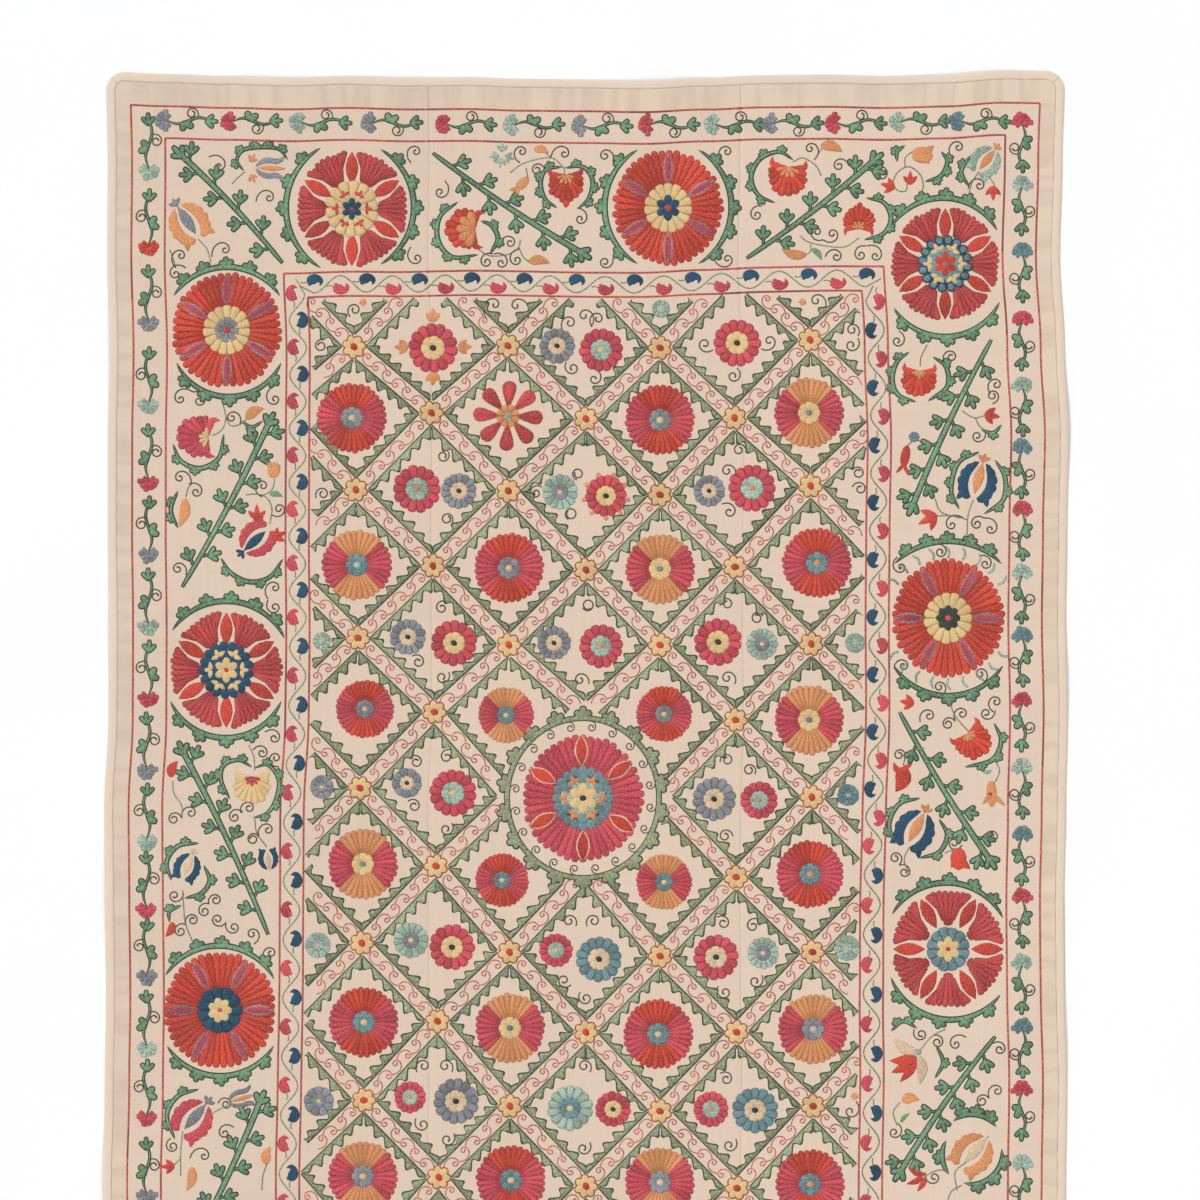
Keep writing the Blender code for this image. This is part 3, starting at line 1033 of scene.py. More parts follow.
def bell(x, y, turn, length, width, thread, kind, half_turn=False):
    """A small bud or leaf: dot, leaf, star, fish or drop."""
    spot = Spot(x, y, turn, half_turn=half_turn)
    if kind == "dot":
        needle.dot(thread, spot, width / 2)
    elif kind == "leaf":
        bent = smooth(((0, 0), (length * 0.5, -width * 0.12), (length, width * 0.25)), length / 6)
        t = np.linspace(0, 1, len(bent))
        needle.band(thread, spot, bent, np.interp(t, LEAF[:, 0], LEAF[:, 1]) * width / 2)
    elif kind == "star":
        for turn_out, share in ((-47, 0.82), (47, 0.82), (0, 1.0)):
            needle.lobe(thread, spot.at(-1, 0, turn_out), length * share, width * 0.46, shape=LEAF)
        needle.lobe(thread, spot.at(-3, 0), length * 0.6, width * 0.75, shape=DISC, lift=0.0001)
    elif kind == "fish":
        needle.lobe(thread, spot, length * 0.72, width, shape=ROUND)
        for turn_out in (-32, 32):
            needle.lobe(thread, spot.at(length * 0.62, 0, turn_out), length * 0.4, width * 0.42)
    else:
        needle.lobe(thread, spot, length, width, shape=ROUND)
        for turn_out, share in ((-48, 0.7), (44, 0.52)):
            needle.lobe(thread, spot.at(length * 0.5, 0, turn_out), length * share, width * 0.5)


def paisley(spot, thread):
    """A curled bud of the vine, with its point bent down to its right."""
    spine = smooth(((-7, 0.8), (-3.4, -0.4), (1, -1.8), (5, -1.4), (7.2, 1.2), (6.0, 5.2)), 1.6)
    t = np.linspace(0, 1, len(spine))
    width = np.interp(t, (0, 0.07, 0.2, 0.38, 0.6, 0.8, 1), (1.4, 4.0, 5.3, 5.2, 3.8, 2.3, 0.4))
    needle.band(thread, spot, spine, width)
    needle.dot(thread, spot.at(-4.2, 3.3), 2.0)


def small_flower(x, y, radius, petals, heart, dot):
    """A flower of the field: a ring of rows round a scalloped heart and a dot."""
    spot = Spot(x, y, 7 * (x % 5))
    ribs(petals, spot, 14 if radius > 15 else 9, radius * 0.36, radius, furrow=0.36, shape=PETAL_ROW)
    scallops(heart, spot, 7, radius * 0.48, 0.0003)
    needle.dot(dot, spot, radius * 0.11 + 0.8, lift=0.0008)


def field_rosette(x, y, radius, ends, heart, dot):
    """A large flower of the field: one thread in its end quarters, and crimson in its side ones."""
    spot = Spot(x, y)
    count = 32
    for index in range(count):
        turn = (index + 0.5) * 360 / count
        thread = ends if abs(math.sin(math.radians(turn))) > 0.7 else "crimson"
        ribs(thread, spot, 1, radius * 0.25, radius, first=turn, sweep=360 / count, furrow=0.3)
    scallops(heart, spot, 8, radius * 0.32, 0.0003)
    needle.dot(dot, spot, radius * 0.10, lift=0.0008)


def daisy(x, y, radius, thread, heart, dot):
    spot = Spot(x, y)
    for index in range(8):
        petal = spot.at(0, 0, 45 * index + 3).at(radius * 0.27, 0)
        needle.lobe(thread, petal, radius * 0.76, radius * 0.44, shape=DROP)
        needle.lobe(thread, petal.at(3.0, 0), radius * 0.60, radius * 0.2, shape=DROP, lift=0.0002)
    ribs(heart, spot, 8, 1, radius * 0.33, lift=0.0004, furrow=0.14)
    needle.dot(dot, spot, radius * 0.12, lift=0.0009)


def crossing_flower(x, y):
    spot = Spot(x, y, 11 * (x % 7))
    for index in range(7):
        needle.lobe("yellow", spot.at(0, 0, index * 360 / 7).at(2.0, 0), 9.4, 7.8, "flower_edge", ROUND)
    needle.dot("petal_red", spot, 4.1, lift=0.0008)


# The chart

# Lines that follow the edges, as squares in from the left and right and from the top and bottom
EDGE_LINES = ((24.6, 32.6), (58.4, 64.8))
FIELD_LINES = ((179.0, 196.5), (202.5, 221.0))
# How the field's frame has crept: to the left below a level, growing over a stretch, and up by so many
# squares at places along its top, which fades out above a level
FRAME_LEFT, FRAME_LEFT_FROM, FRAME_LEFT_OVER = 5.5, 650, 450
FRAME_UP, FRAME_UP_AT = (-2, 1, 0, 4), (300, 510, 590, 880)
FRAME_UP_ABOVE, FRAME_UP_FADE = 450, 100


def laid(points):
    """Chart squares of the cut rectangle to where they lie."""
    x, y = lay((points[:, 0] - MIDDLE[0]) * SQUARE, (MIDDLE[1] - points[:, 1]) * SQUARE)
    return np.stack((x / SQUARE + MIDDLE[0], MIDDLE[1] - y / SQUARE), axis=1)


def drift(points):
    """How far the field's frame has crept, in squares: left at its lower end, and up or down at its top."""
    across, down = points[:, 0], points[:, 1]
    left = FRAME_LEFT * np.clip((down - FRAME_LEFT_FROM) / FRAME_LEFT_OVER, 0, 1)
    at_top = np.clip((FRAME_UP_ABOVE - down) / FRAME_UP_FADE, 0, 1)
    return np.stack((left, np.interp(across, FRAME_UP_AT, FRAME_UP) * at_top), axis=1)


def edge_line(in_sides, in_ends):
    """A sewn line round the cloth that wanders as the edges do, its thread renewed every so often."""
    half = np.array((WIDTH, LENGTH)) / 2 / SQUARE - (in_sides, in_ends)
    corners = MIDDLE + half * ((-1, -1), (1, -1), (1, 1), (-1, 1), (-1, -1))
    for start, end in zip(corners, corners[1:]):
        count = int(np.hypot(*(end - start)) / 5.5)
        line = laid(start + (end - start) * np.linspace(0, 1, count)[:, None])
        if in_sides >= FIELD_LINES[0][0]:
            line -= drift(line)
        at = 0
        while at < count - 1:
            to = min(at + int(needle.random.uniform(3, 16)), count - 1)
            shaded = needle.random.uniform() < 0.09
            tone = -0.6 if shaded else needle.random.uniform(0.2, 0.8)
            needle.band("line_red", CHART, line[at : to + 1], 1.15, section=CORD, tone=tone)
            at = to


# Columns: x, y, radius, turn, heart
OPEN_ROSETTES = (
    (352, 209, 56.5, 30, "star"),
    (945, 264, 55, 30, "teal_star"),
    (948, 949, 57, 0, "blue"),
    (226.5, 670, 57, 30, "navy_star"),
)
CLOSED_ROSETTES = (
    (668, 208, 56, 30, "yellow_navy"),
    (227, 330, 56, 30, "grey"),
    (948, 618, 57.5, 0, "yellow_green"),
    (220, 1010, 57, 0, "navy_yellow"),
)

# Columns: x, y, radius, middle and half of its turn, thickness, buds
CRESCENTS = (
    (355, 208, 69, 180, 60, 6.5, 5),
    (348, 207, 66, 0, 60, 6.5, 5),
    (670, 207, 65.5, 180, 60, 6.5, 5),
    (666, 207, 65.5, 0, 60, 6.5, 5),
    (227, 330, 63, -90, 57, 6.5, 5),
    (229, 340, 57, 90, 66, 6.5, 5),
    (226.5, 665, 64, -86, 61, 6.5, 5),
    (226, 678, 60, 90, 67, 6.5, 5),
    (219, 1008, 62.5, -88, 60, 6.5, 5),
    (220.5, 1014, 62, 90, 59, 6.5, 5),
    (943, 259, 61, -88, 60, 6.5, 5),
    (945, 277, 60, 87, 62, 6.5, 5),
    (948, 615, 74, -90, 46, 6.5, 5),
    (948, 632, 64, 90, 58, 6.5, 5),
    (946.5, 945, 62.5, -88, 62, 6.5, 5),
    (950, 957, 62.5, 99, 62, 6.5, 5),
    (972, 1143, 29, -82, 48, 6.2, 3),
    (972, 1155, 30, 175, 34, 5.8, 1),
    (972, 1154, 30, 48, 58, 6.2, 3),
)

# Leaves curled round the smaller flowers. Columns: thickness, buds, points clockwise round the flower
CURLED_LEAVES = (
    (4.8, 5, ((244, 171), (237, 161), (243, 150.5), (260, 147.5), (279, 149.5), (288, 160))),
    (5.4, 5, ((478, 255), (452, 257), (438, 240), (440, 217), (458, 202))),
    (5.4, 2, ((481, 221), (492, 226), (498, 239), (490, 254))),
    (5.0, 4, ((557, 208), (545, 199), (540.5, 183), (546, 170), (562, 167))),
    (5.0, 4, ((565, 168), (583, 167), (592.5, 180), (589, 198), (578, 209))),
    (5.4, 5, ((775, 203), (758, 195), (751, 177), (760, 159), (779, 152), (793, 160))),
    (5.2, 4, ((866, 198), (884, 203), (891, 219), (883, 234), (864, 240))),
    (5.2, 3, ((941, 152), (947, 162), (941, 176), (925, 182))),
    (4.4, 1, ((897, 162), (897, 152), (905, 145.5))),
    (4.6, 2, ((969, 187), (961, 172), (970, 156))),
    (5.4, 4, ((224, 434), (219, 458), (200, 468.5), (181, 461), (173, 444))),
    (3.6, 1, ((263, 421), (252, 427), (241, 421))),
    (4.6, 2, ((178, 528), (171, 510), (178, 491))),
    (5.4, 4, ((283, 559), (270, 577), (250, 582), (231, 573), (221, 558))),
    (5.0, 4, ((230, 799), (221, 779.5), (224, 765), (238.8, 760), (252, 767))),
    (5.0, 5, ((254, 768), (268, 765), (279, 779.5), (276.5, 799), (267.5, 813), (253, 818))),
    (5.2, 3, ((172, 880), (167, 862), (178, 846), (199, 843))),
    (5.2, 2, ((204, 865), (210, 880), (202, 893), (185, 898))),
    (4.2, 1, ((170, 922), (170, 911), (182, 905))),
    (5.2, 3, ((175, 1139), (167, 1115), (178, 1096), (199, 1089))),
    (5.4, 4, ((916, 402), (898, 395), (892, 379), (897, 362), (909, 352))),
    (5.4, 3, ((933, 357), (946, 367), (947, 387), (928, 401))),
    (4.0, 1, ((1001, 425), (993, 433), (981, 430))),
    (5.4, 4, ((959, 509), (951, 490), (958, 463), (979, 452))),
    (5.4, 3, ((995, 460), (1005, 478), (1003, 500), (984, 514))),
    (5.4, 3, ((994, 723), (1001, 741), (992, 760), (965, 767))),
    (5.2, 3, ((895, 844), (889, 824), (899, 804), (920, 798))),
    (5.2, 2, ((939, 819), (947, 835), (939, 852), (919, 858))),
    (4.4, 2, ((891, 1031), (903, 1021), (917, 1028))),
    (4.4, 1, ((936, 1045), (943, 1062), (935, 1078))),
)

# Columns: plain end x, y, leafy end x, y, leaves on its left and right
BRANCHES = (
    (282.7, 263.2, 178, 152, 4, 4),
    (432.8, 153.2, 585, 255, 5, 5),
    (746.5, 258.5, 877, 158, 5, 5),
    (182.3, 587.2, 271, 419, 5, 6),
    (268.4, 934.5, 181.5, 748, 6, 6),
    (186, 1258, 262, 1097, 5, 5),
    (991.2, 339.8, 911, 509, 5, 6),
    (899.4, 712, 992, 863, 5, 5),
    (995, 1035.8, 898, 1175, 6, 5),
)

# Columns: x, y, facing, radius, thread, heart, heart's share of the length, tail
FAN_FLOWERS = (
    (465, 229, 184, 20, "brick", "apricot", 0.62, 0),
    (566, 184, 88, 18, "brick", "apricot", 0.34, 8),
    (787, 177, 97, 19.5, "brick", "apricot", 0.36, 0),
    (859, 221, -88, 15.5, "brick", "apricot", 0.30, 5),
    (198, 436, 188, 21, "crimson", "yellow", 0.28, 0),
    (252, 786, 90, 18.5, "yellow", "crimson", 0.30, 0),
    (919, 380, 92, 17.5, "brick", "apricot", 0.30, 0),
    (973, 741, 50, 18.5, "brick", "apricot", 0.30, 0),
)

# Columns: x, y, turn from base to crown, length, shell, core and crown threads
POMEGRANATES = (
    (188, 222, -124, 43, "apricot", "grey_blue", "grey_blue"),
    (986, 161, -52, 33, "mint", "apricot", "apricot"),
    (256, 540, 138, 38, "crimson", "navy", "navy"),
    (188, 866, -68, 29, "navy", "beige", "beige"),
    (268.5, 860, 84, 22, "navy", "beige", None),
    (194, 1118, -49.5, 43, "crimson", "grey_blue", "grey_blue"),
    (978, 480, -75, 42, "navy", "apricot", "apricot"),
    (915.5, 829, -62, 43, "navy", "apricot", "apricot"),
    (974, 1152, -48, 43, "apricot", "beige", None),
)

# Columns: x, y, turn, length, side petals, middle petal
TULIPS = (
    (256, 168, 2, 29, "grey_blue", "apricot"),
    (229, 1102, -16, 26, "grey_blue", "apricot"),
)

# Columns: x, y, turn, length, width, thread, kind
BELLS = (
    (529, 262, -4, 21, 11, "apricot", "leaf"),
    (534, 150, 3, 15, 9, "apricot", "leaf"),
    (528, 178, 134, 23, 10, "apricot", "fish"),
    (821, 146, 8, 22, 12, "apricot", "leaf"),
    (806, 255, 187, 25, 11, "apricot", "leaf"),
    (812, 249, 43, 15, 7, "leaf_green", "leaf"),
    (912, 154, 8, 21, 17, "apricot", "drop"),
    (910, 182, -90, 12, 12, "brick", "star"),
    (892, 187, 195, 13, 13, "brick", "star"),
    (993, 189, 90, 13, 13, "brick", "star"),
    (247, 419, -40, 20, 12, "apricot", "leaf"),
    (185, 499, 96, 29, 12, "apricot", "leaf"),
    (273, 478, -82, 16, 13, "apricot", "drop"),
    (270, 494.5, 2, 13, 7, "leaf_green", "leaf"),
    (257, 518, -90, 15, 13, "brick", "star"),
    (276, 537, -28, 13, 13, "brick", "star"),
    (171.5, 777, -78, 17, 11, "brick", "leaf"),
    (173, 922, 108, 16, 9, "brick", "leaf"),
    (267, 1164, -88, 18, 11, "apricot", "leaf"),
    (192, 1167, 95, 24, 11, "apricot", "leaf"),
    (172, 1166, 178, 12, 12, "brick", "star"),
    (907, 446, 100, 30, 10, "brick", "fish"),
    (987, 415, 10, 14, 15, "brick", "star"),
    (934, 516, 152, 19, 17, "brick", "star"),
    (911, 703, 190, 13, 13, "brick", "star"),
    (901.5, 767, 93, 25, 18, "brick", "leaf"),
    (902, 773, -48, 13, 7, "brick", "leaf"),
    (901, 773, -132, 13, 7, "brick", "leaf"),
    (991, 781, 88, 26, 11, "apricot", "drop"),
    (990, 794, 0, 1, 5, "brick", "dot"),
    (958, 848, 88, 22, 17, "brick", "drop"),
    (902, 1101, -14, 17, 12, "apricot", "leaf"),
    (901, 1122, -52, 12, 5, "leaf_green", "leaf"),
    (991, 770, 160, 9, 5, "mint", "leaf"),
    (914, 437, 0, 1, 11, "teal", "dot"),
    (917, 1053, -152, 29, 12, "beige", "leaf"),
    (919, 1056, 82, 28, 12, "beige", "leaf"),
    (915, 1056, 115, 30, 11, "brick", "leaf"),
    (914, 1056, 138, 28, 12, "brick", "leaf"),
    (914, 1055, 161, 25, 11, "brick", "leaf"),
    (918, 1052, 0, 1, 7, "mint", "dot"),
    (925, 1175, -160, 19, 7, "brick", "leaf"),
    (925, 1175, 150, 21, 7, "brick", "leaf"),
    (925, 1175, 110, 18, 7, "brick", "leaf"),
    (925, 1175, 130, 11, 7, "apricot", "leaf"),
)

# Columns: start x, y, eye x, y, hand
TENDRILS = (
    (209, 157, 219, 166, 1),
    (256, 202, 269, 198, 1),
    (212, 257, 225, 250, 1),
    (176, 268, 181, 256, 1),
    (186, 268, 176, 274, -1),
    (411, 163, 416, 152, 1),
    (411, 247, 417, 258, -1),
    (445, 181, 440, 192, 1),
    (500, 245, 510, 243, 1),
    (493, 254, 487, 262, -1),
    (494, 254, 501, 263, 1),
    (520, 249, 517, 260, -1),
    (520, 163, 522, 152, 1),
    (551, 157, 564, 154, 1),
    (545, 172, 537, 170, -1),
    (577, 208, 580, 219, 1),
    (613, 162, 605, 156, -1),
    (613, 258, 605, 262, 1),
    (723, 163, 727, 152, 1),
    (714, 259, 727, 259, -1),
    (762, 206, 757, 215, -1),
    (814, 160, 810, 149, -1),
    (849, 166, 839, 166, -1),
    (823, 240, 817, 232, 1),
    (823, 240, 832, 234, -1),
    (825, 257, 836, 257, 1),
    (866, 246, 861, 255, -1),
    (867, 246, 875, 256, 1),
    (951, 158, 958, 148, 1),
    (968, 189, 979, 186, 1),
    (872, 167, 881, 175, 1),
    (193, 392, 181, 399, -1),
    (193, 392, 199, 401, 1),
    (271, 388, 275, 399, -1),
    (240, 425, 232, 418, -1),
    (191, 485, 180, 478, -1),
    (189, 484, 196, 492, 1),
    (262, 497, 263, 486, 1),
    (272, 515, 279, 509, -1),
    (186, 575, 178, 569, -1),
    (268, 599, 275, 588, 1),
    (268, 600, 275, 607, -1),
    (265, 732, 274, 738, 1),
    (253, 750, 262, 753, 1),
    (279, 767, 276, 758, 1),
    (243, 812, 235, 817, -1),
    (241, 813, 249, 808, 1),
    (182, 818, 191, 813, 1),
    (182, 818, 174, 819, -1),
    (259, 837, 268, 830, 1),
    (259, 837, 253, 839, -1),
    (184, 893, 175, 895, 1),
    (209, 904, 216, 900, 1),
    (209, 903, 205, 911, -1),
    (226, 923, 218, 919, 1),
    (226, 922, 234, 927, -1),
    (186, 924, 193, 920, 1),
    (186, 924, 181, 931, -1),
    (254, 944, 252, 934, -1),
    (266, 962, 271, 953, 1),
    (218, 1103, 226, 1104, 1),
    (171, 1138, 173, 1146, -1),
    (190, 1158, 204, 1156, 1),
    (234, 1127, 225, 1133, -1),
    (943, 361, 951, 357, 1),
    (990, 394, 996, 385, 1),
    (992, 404, 992, 396, -1),
    (985, 431, 977, 436, 1),
    (963, 518, 952, 525, -1),
    (984, 518, 977, 524, -1),
    (984, 518, 990, 529, 1),
    (937, 544, 940, 552, 1),
    (979, 556, 985, 564, 1),
    (897, 557, 901, 567, -1),
    (899, 331, 897, 341, 1),
    (894, 669, 903, 666, 1),
    (983, 683, 980, 674, -1),
    (940, 696, 939, 687, -1),
    (920, 722, 929, 716, 1),
    (955, 721, 962, 714, 1),
    (955, 721, 948, 724, -1),
    (993, 712, 996, 702, 1),
    (995, 710, 986, 713, 1),
    (904, 761, 899, 755, -1),
    (962, 845, 954, 843, 1),
    (985, 843, 993, 837, 1),
    (899, 865, 895, 858, -1),
    (899, 865, 904, 872, 1),
    (914, 1029, 921, 1034, -1),
    (933, 1035, 937, 1042, 1),
    (966, 1037, 956, 1044, -1),
    (992, 1043, 999, 1049, 1),
    (989, 1098, 997, 1091, 1),
    (989, 1098, 982, 1101, -1),
    (898, 1123, 894, 1132, 1),
    (925, 1172, 934, 1177, -1),
)

# Thin stems, each through a few points
STEMS = (
    ((198, 239), (207, 249), (211, 262)),
    ((176, 268), (173, 258), (170, 250)),
    ((245, 172), (238, 178), (232, 184)),
    ((478, 249), (490, 256), (510, 254), (519, 247), (520, 240)),
    ((519, 248), (524, 258), (530, 262)),
    ((564, 168), (551, 158), (525, 163), (510, 173)),
    ((551, 158), (547, 154), (545, 152)),
    ((564, 168), (565, 176)),
    ((528, 178), (526, 168)),
    ((793, 162), (803, 158), (816, 166), (821, 176)),
    ((814, 160), (819, 153), (822, 148)),
    ((859, 238), (845, 247), (825, 246), (808, 242), (800, 236)),
    ((810, 244), (811, 251), (805, 255)),
    ((905, 168), (905, 158), (912, 152)),
    (
        (917, 198), (923, 188), (920, 175), (909, 167), (898, 172),
        (893, 183), (898, 191), (906, 191), (907, 184),
    ),
    ((979, 172), (972, 182), (969, 193)),
    ((989, 178), (994, 184), (993, 190)),
    ((223, 404), (226, 418), (222, 430), (212, 436)),
    ((226, 417), (231, 426), (241, 424), (247, 419)),
    ((186, 497), (188, 489), (191, 484)),
    ((246, 495), (256, 494), (266, 497), (272, 508), (270, 524)),
    ((262, 496), (272, 490), (275, 479)),
    ((249, 745), (254, 757), (255, 770)),
    ((255, 819), (257, 833), (267, 847)),
    ((173, 781), (174, 793), (182, 806), (182, 818)),
    ((183, 890), (184, 905), (186, 924), (194, 944)),
    ((183, 1131), (181, 1150), (181, 1175)),
    ((205, 1118), (218, 1110), (230, 1104)),
    ((181, 1158), (173, 1166)),
    ((927, 345), (921, 357), (920, 366)),
    ((962, 411), (974, 418), (986, 415)),
    ((975, 418), (979, 426), (985, 431)),
    ((907, 446), (913, 441), (921, 441)),
    ((973, 500), (968, 515), (967, 535)),
    ((967, 520), (955, 516), (934, 516)),
    ((935, 499), (941, 512), (960, 518)),
    ((950, 702), (955, 716), (968, 731)),
    ((903, 765), (907, 754), (916, 749), (924, 748)),
    ((992, 757), (999, 768), (998, 776), (993, 785)),
    ((909, 847), (904, 860), (910, 875)),
    ((945, 853), (952, 850), (958, 851)),
    ((945, 1029), (932, 1036), (920, 1050)),
    ((897, 1125), (893, 1112), (900, 1102)),
    ((966, 1162), (955, 1172), (957, 1190)),
    ((948, 1171), (938, 1170), (924, 1176)),
    ((267, 1164), (263, 1176), (262, 1190)),
)

# What stands above this level is sewn at the other end too, by a half turn
END_ROWS = 415
# Four mint leaves round a point, and two apricot leaves as x, y and turn
MINT_LEAVES = (502, 155)
MINT_LEAF_TURNS = (20, 100, 170, 272)
APRICOT_LEAVES = ((251, 161.5, -60), (251, 175.5, 60))
# The middle of the rosette with hairs above and below it, and how far out the hairs start
HALO_AT = (948, 618)
HALO_RADIUS = 60

# The sprigs between the two edge lines: where each flower stands along its side, and their threads
TOP_SPRIGS = (165, 230, 299, 370, 444, 512, 580, 647, 713, 771, 834, 898, 958)
TOP_THREADS = ("grey_blue", "crimson", "mint") * 4 + ("teal",)
LEFT_SPRIGS = (
    (171, 247, 323, 405, 482, 554, 626, 698, 770, 841)
    + (909, 976, 1048, 1117, 1195, 1268, 1341, 1413, 1485)
)
LEFT_THREADS = ("mint", "brick", "grey_blue") + ("mint", "crimson", "grey_blue") * 5 + ("mint",)
RIGHT_SPRIGS = (
    (122, 185, 252, 320, 386, 448, 510, 573, 636, 701, 768)
    + (835, 897, 963, 1027, 1090, 1164, 1231, 1297, 1363, 1429)
)
RIGHT_THREADS = ("crimson", "mint", "teal") * 7
# The lines that the flowers stand on, and the sprigs' lengths. The top line rises by TOP_SPRIG_RISE
# for every ten squares from the middle, and the left line has its second place from LEFT_LINE_CHANGE down
TOP_SPRIG_LINE, TOP_SPRIG_LENGTH, TOP_SPRIG_RISE = 126, 49, 0.12
LEFT_SPRIG_LINES, LEFT_SPRIG_LENGTH = (149, 147), 54
LEFT_LINE_CHANGE = 700
RIGHT_SPRIG_LINE, RIGHT_SPRIG_LENGTH = 1022, 47

# The lattice's crossings: two sets in each other's gaps. Each column creeps to the right row by row
COLUMNS_A = (354, 508, 660, 810)
CREEP_A = (2.0, 0.4, 0.0, 0.6)
LEVELS_A = (
    (347, 346, 348, 340),
    (490, 491, 495, 486),
    (638, 645, 645, 644),
    (788, 797, 797, 797),
    (943, 952, 956, 952),
    (1100, 1106, 1111, 1106),
    (1262, 1266, 1270, 1266),
)
COLUMNS_B = (280, 430, 586, 734, 886)
CREEP_B = (1.5, 1.5, 0.0, 0.5, 0.0)
LEVELS_B = (
    (271, 270, 271, 271, 268),
    (410, 413, 419, 418, 414),
    (563, 566, 570, 567, 567),
    (709, 712, 713, 720, 718),
    (863, 866, 871, 877, 875),
    (1018, 1021, 1032, 1032, 1029),
    (1172, 1177, 1186, 1188, 1183),
    (1338, 1340, 1342, 1343, 1340),
)
# The medallion: middle x, y, half its width and half its height, and its ring's radius in its own squares
MEDALLION = (583, 798, 77, 81)
MEDALLION_RING = 78
MEDALLION_PETALS = (-92, -36, 32, 90, 152, 208)

# Columns: x, y, radius, end quarters, heart, dot
FIELD_ROSETTES = (
    (352, 418, 35, "brick", "grey_blue", "beige"),
    (660, 420, 35, "brick", "grey_blue", "yellow"),
    (809, 413, 35, "apricot", "yellow", "grey_blue"),
    (357, 565, 35, "apricot", "teal", "mint"),
    (509, 568, 35, "brick", "grey_blue", "yellow"),
    (660, 569, 35, "apricot", "yellow", "grey_blue"),
    (817, 563, 35, "brick", "teal", "apricot"),
    (365, 709, 29, "brick", "grey_blue", "yellow"),
    (506, 715, 28, "apricot", "teal", "yellow"),
    (664, 714, 28, "brick", "grey_blue", "yellow"),
    (809, 720, 35, "apricot", "yellow", "grey_blue"),
    (363, 864, 35, "apricot", "yellow", "grey_blue"),
    (502, 880, 27, "brick", "teal", "yellow"),
    (664, 882, 28, "apricot", "teal", "yellow"),
    (810, 874, 34, "brick", "teal", "apricot"),
    (364, 1022, 35, "brick", "teal", "yellow"),
    (510, 1028, 35, "apricot", "yellow", "teal"),
    (658, 1034, 35, "brick", "teal", "yellow"),
    (813, 1029, 35, "apricot", "grey_blue", "beige"),
    (363, 1176, 35, "apricot", "grey_blue", "yellow"),
    (511, 1180, 35, "brick", "teal", "yellow"),
    (660, 1182, 35, "apricot", "grey_blue", "beige"),
    (810, 1184, 35, "brick", "teal", "apricot"),
)

# Columns: x, y, radius, petals, heart, dot
SMALL_FLOWERS = (
    (433, 348, 25, "crimson", "yellow", "ink"),
    (557, 346, 18, "grey_blue", "beige", "ink"),
    (601, 350, 22, "crimson", "mint", "yellow"),
    (737, 343, 24, "crimson", "yellow", "ink"),
    (661, 309, 9, "mint", "mint", "beige"),
    (417, 489, 24, "crimson", "mint", "apricot"),
    (459, 491, 18, "grey_blue", "beige", "ink"),
    (560, 492, 18, "mint", "grey_blue", "beige"),
    (606, 496, 21, "crimson", "yellow", "ink"),
    (709, 491, 16, "grey_blue", "beige", "ink"),
    (752, 488, 24, "crimson", "mint", "apricot"),
    (408, 637, 18, "grey_blue", "beige", "ink"),
    (454, 643, 23, "crimson", "yellow", "ink"),
    (554, 643, 17, "grey_blue", "beige", "ink"),
    (601, 646, 22, "crimson", "mint", "apricot"),
    (718, 642, 24, "crimson", "yellow", "ink"),
    (762, 644, 16, "mint", "grey_blue", "beige"),
    (855, 643, 10, "mint", "mint", "yellow"),
    (322, 641, 9, "mint", "mint", "yellow"),
    (322, 787, 12, "grey_blue", "grey_blue", "yellow"),
    (407, 783, 15, "grey_blue", "beige", "ink"),
    (453, 793, 24, "crimson", "mint", "yellow"),
    (714, 799, 22, "grey_blue", "beige", "ink"),
    (759, 800, 19, "crimson", "mint", "apricot"),
    (848, 795, 11, "teal", "teal", "beige"),
    (318, 945, 13, "mint", "mint", "beige"),
    (411, 940, 18, "mint", "grey_blue", "yellow"),
    (452, 947, 23, "crimson", "yellow", "ink"),
    (556, 950, 17, "crimson", "mint", "yellow"),
    (599, 959, 23, "teal", "beige", "ink"),
    (716, 957, 23, "crimson", "beige", "ink"),
    (763, 953, 16, "mint", "grey_blue", "beige"),
    (847, 948, 13, "mint", "mint", "yellow"),
    (319, 1101, 15, "grey_blue", "grey_blue", "yellow"),
    (410, 1097, 16, "crimson", "mint", "apricot"),
    (456, 1101, 23, "grey_blue", "beige", "ink"),
    (570, 1108, 23, "mint", "teal", "yellow"),
    (613, 1109, 18, "crimson", "yellow", "ink"),
    (711, 1109, 18, "crimson", "mint", "apricot"),
    (755, 1110, 23, "teal", "beige", "ink"),
    (411, 1266, 17, "grey_blue", "beige", "ink"),
    (455, 1264, 22, "crimson", "yellow", "ink"),
    (562, 1266, 22, "crimson", "mint", "yellow"),
    (606, 1268, 17, "teal", "beige", "ink"),
    (712, 1266, 18, "grey_blue", "beige", "ink"),
    (756, 1264, 22, "crimson", "yellow", "ink"),
    (320, 1266, 12, "mint", "mint", "yellow"),
    (847, 1266, 12, "teal", "teal", "beige"),
)

# The daisy: x, y, radius, petals, heart, dot
DAISY = (508, 416, 34, "madder", "apricot", "mint")
# Apricot stars round a flower, as x and y with the flower's middle first, and small ones as x, y, turn
STARS_ROUND = (433, 347)
STARS = ((433, 319), (433, 375), (405, 347), (461, 347))
SMALL_STARS = ((363, 302, 90), (803, 302, 180), (855, 1096, 180))
# A flower with a ring of apricot dots round it: its middle, the ring's radius and a dot's
DOTTED_FLOWER, DOTS, DOT_RING, DOT_RADIUS = (606, 496), 9, 22, 2.6

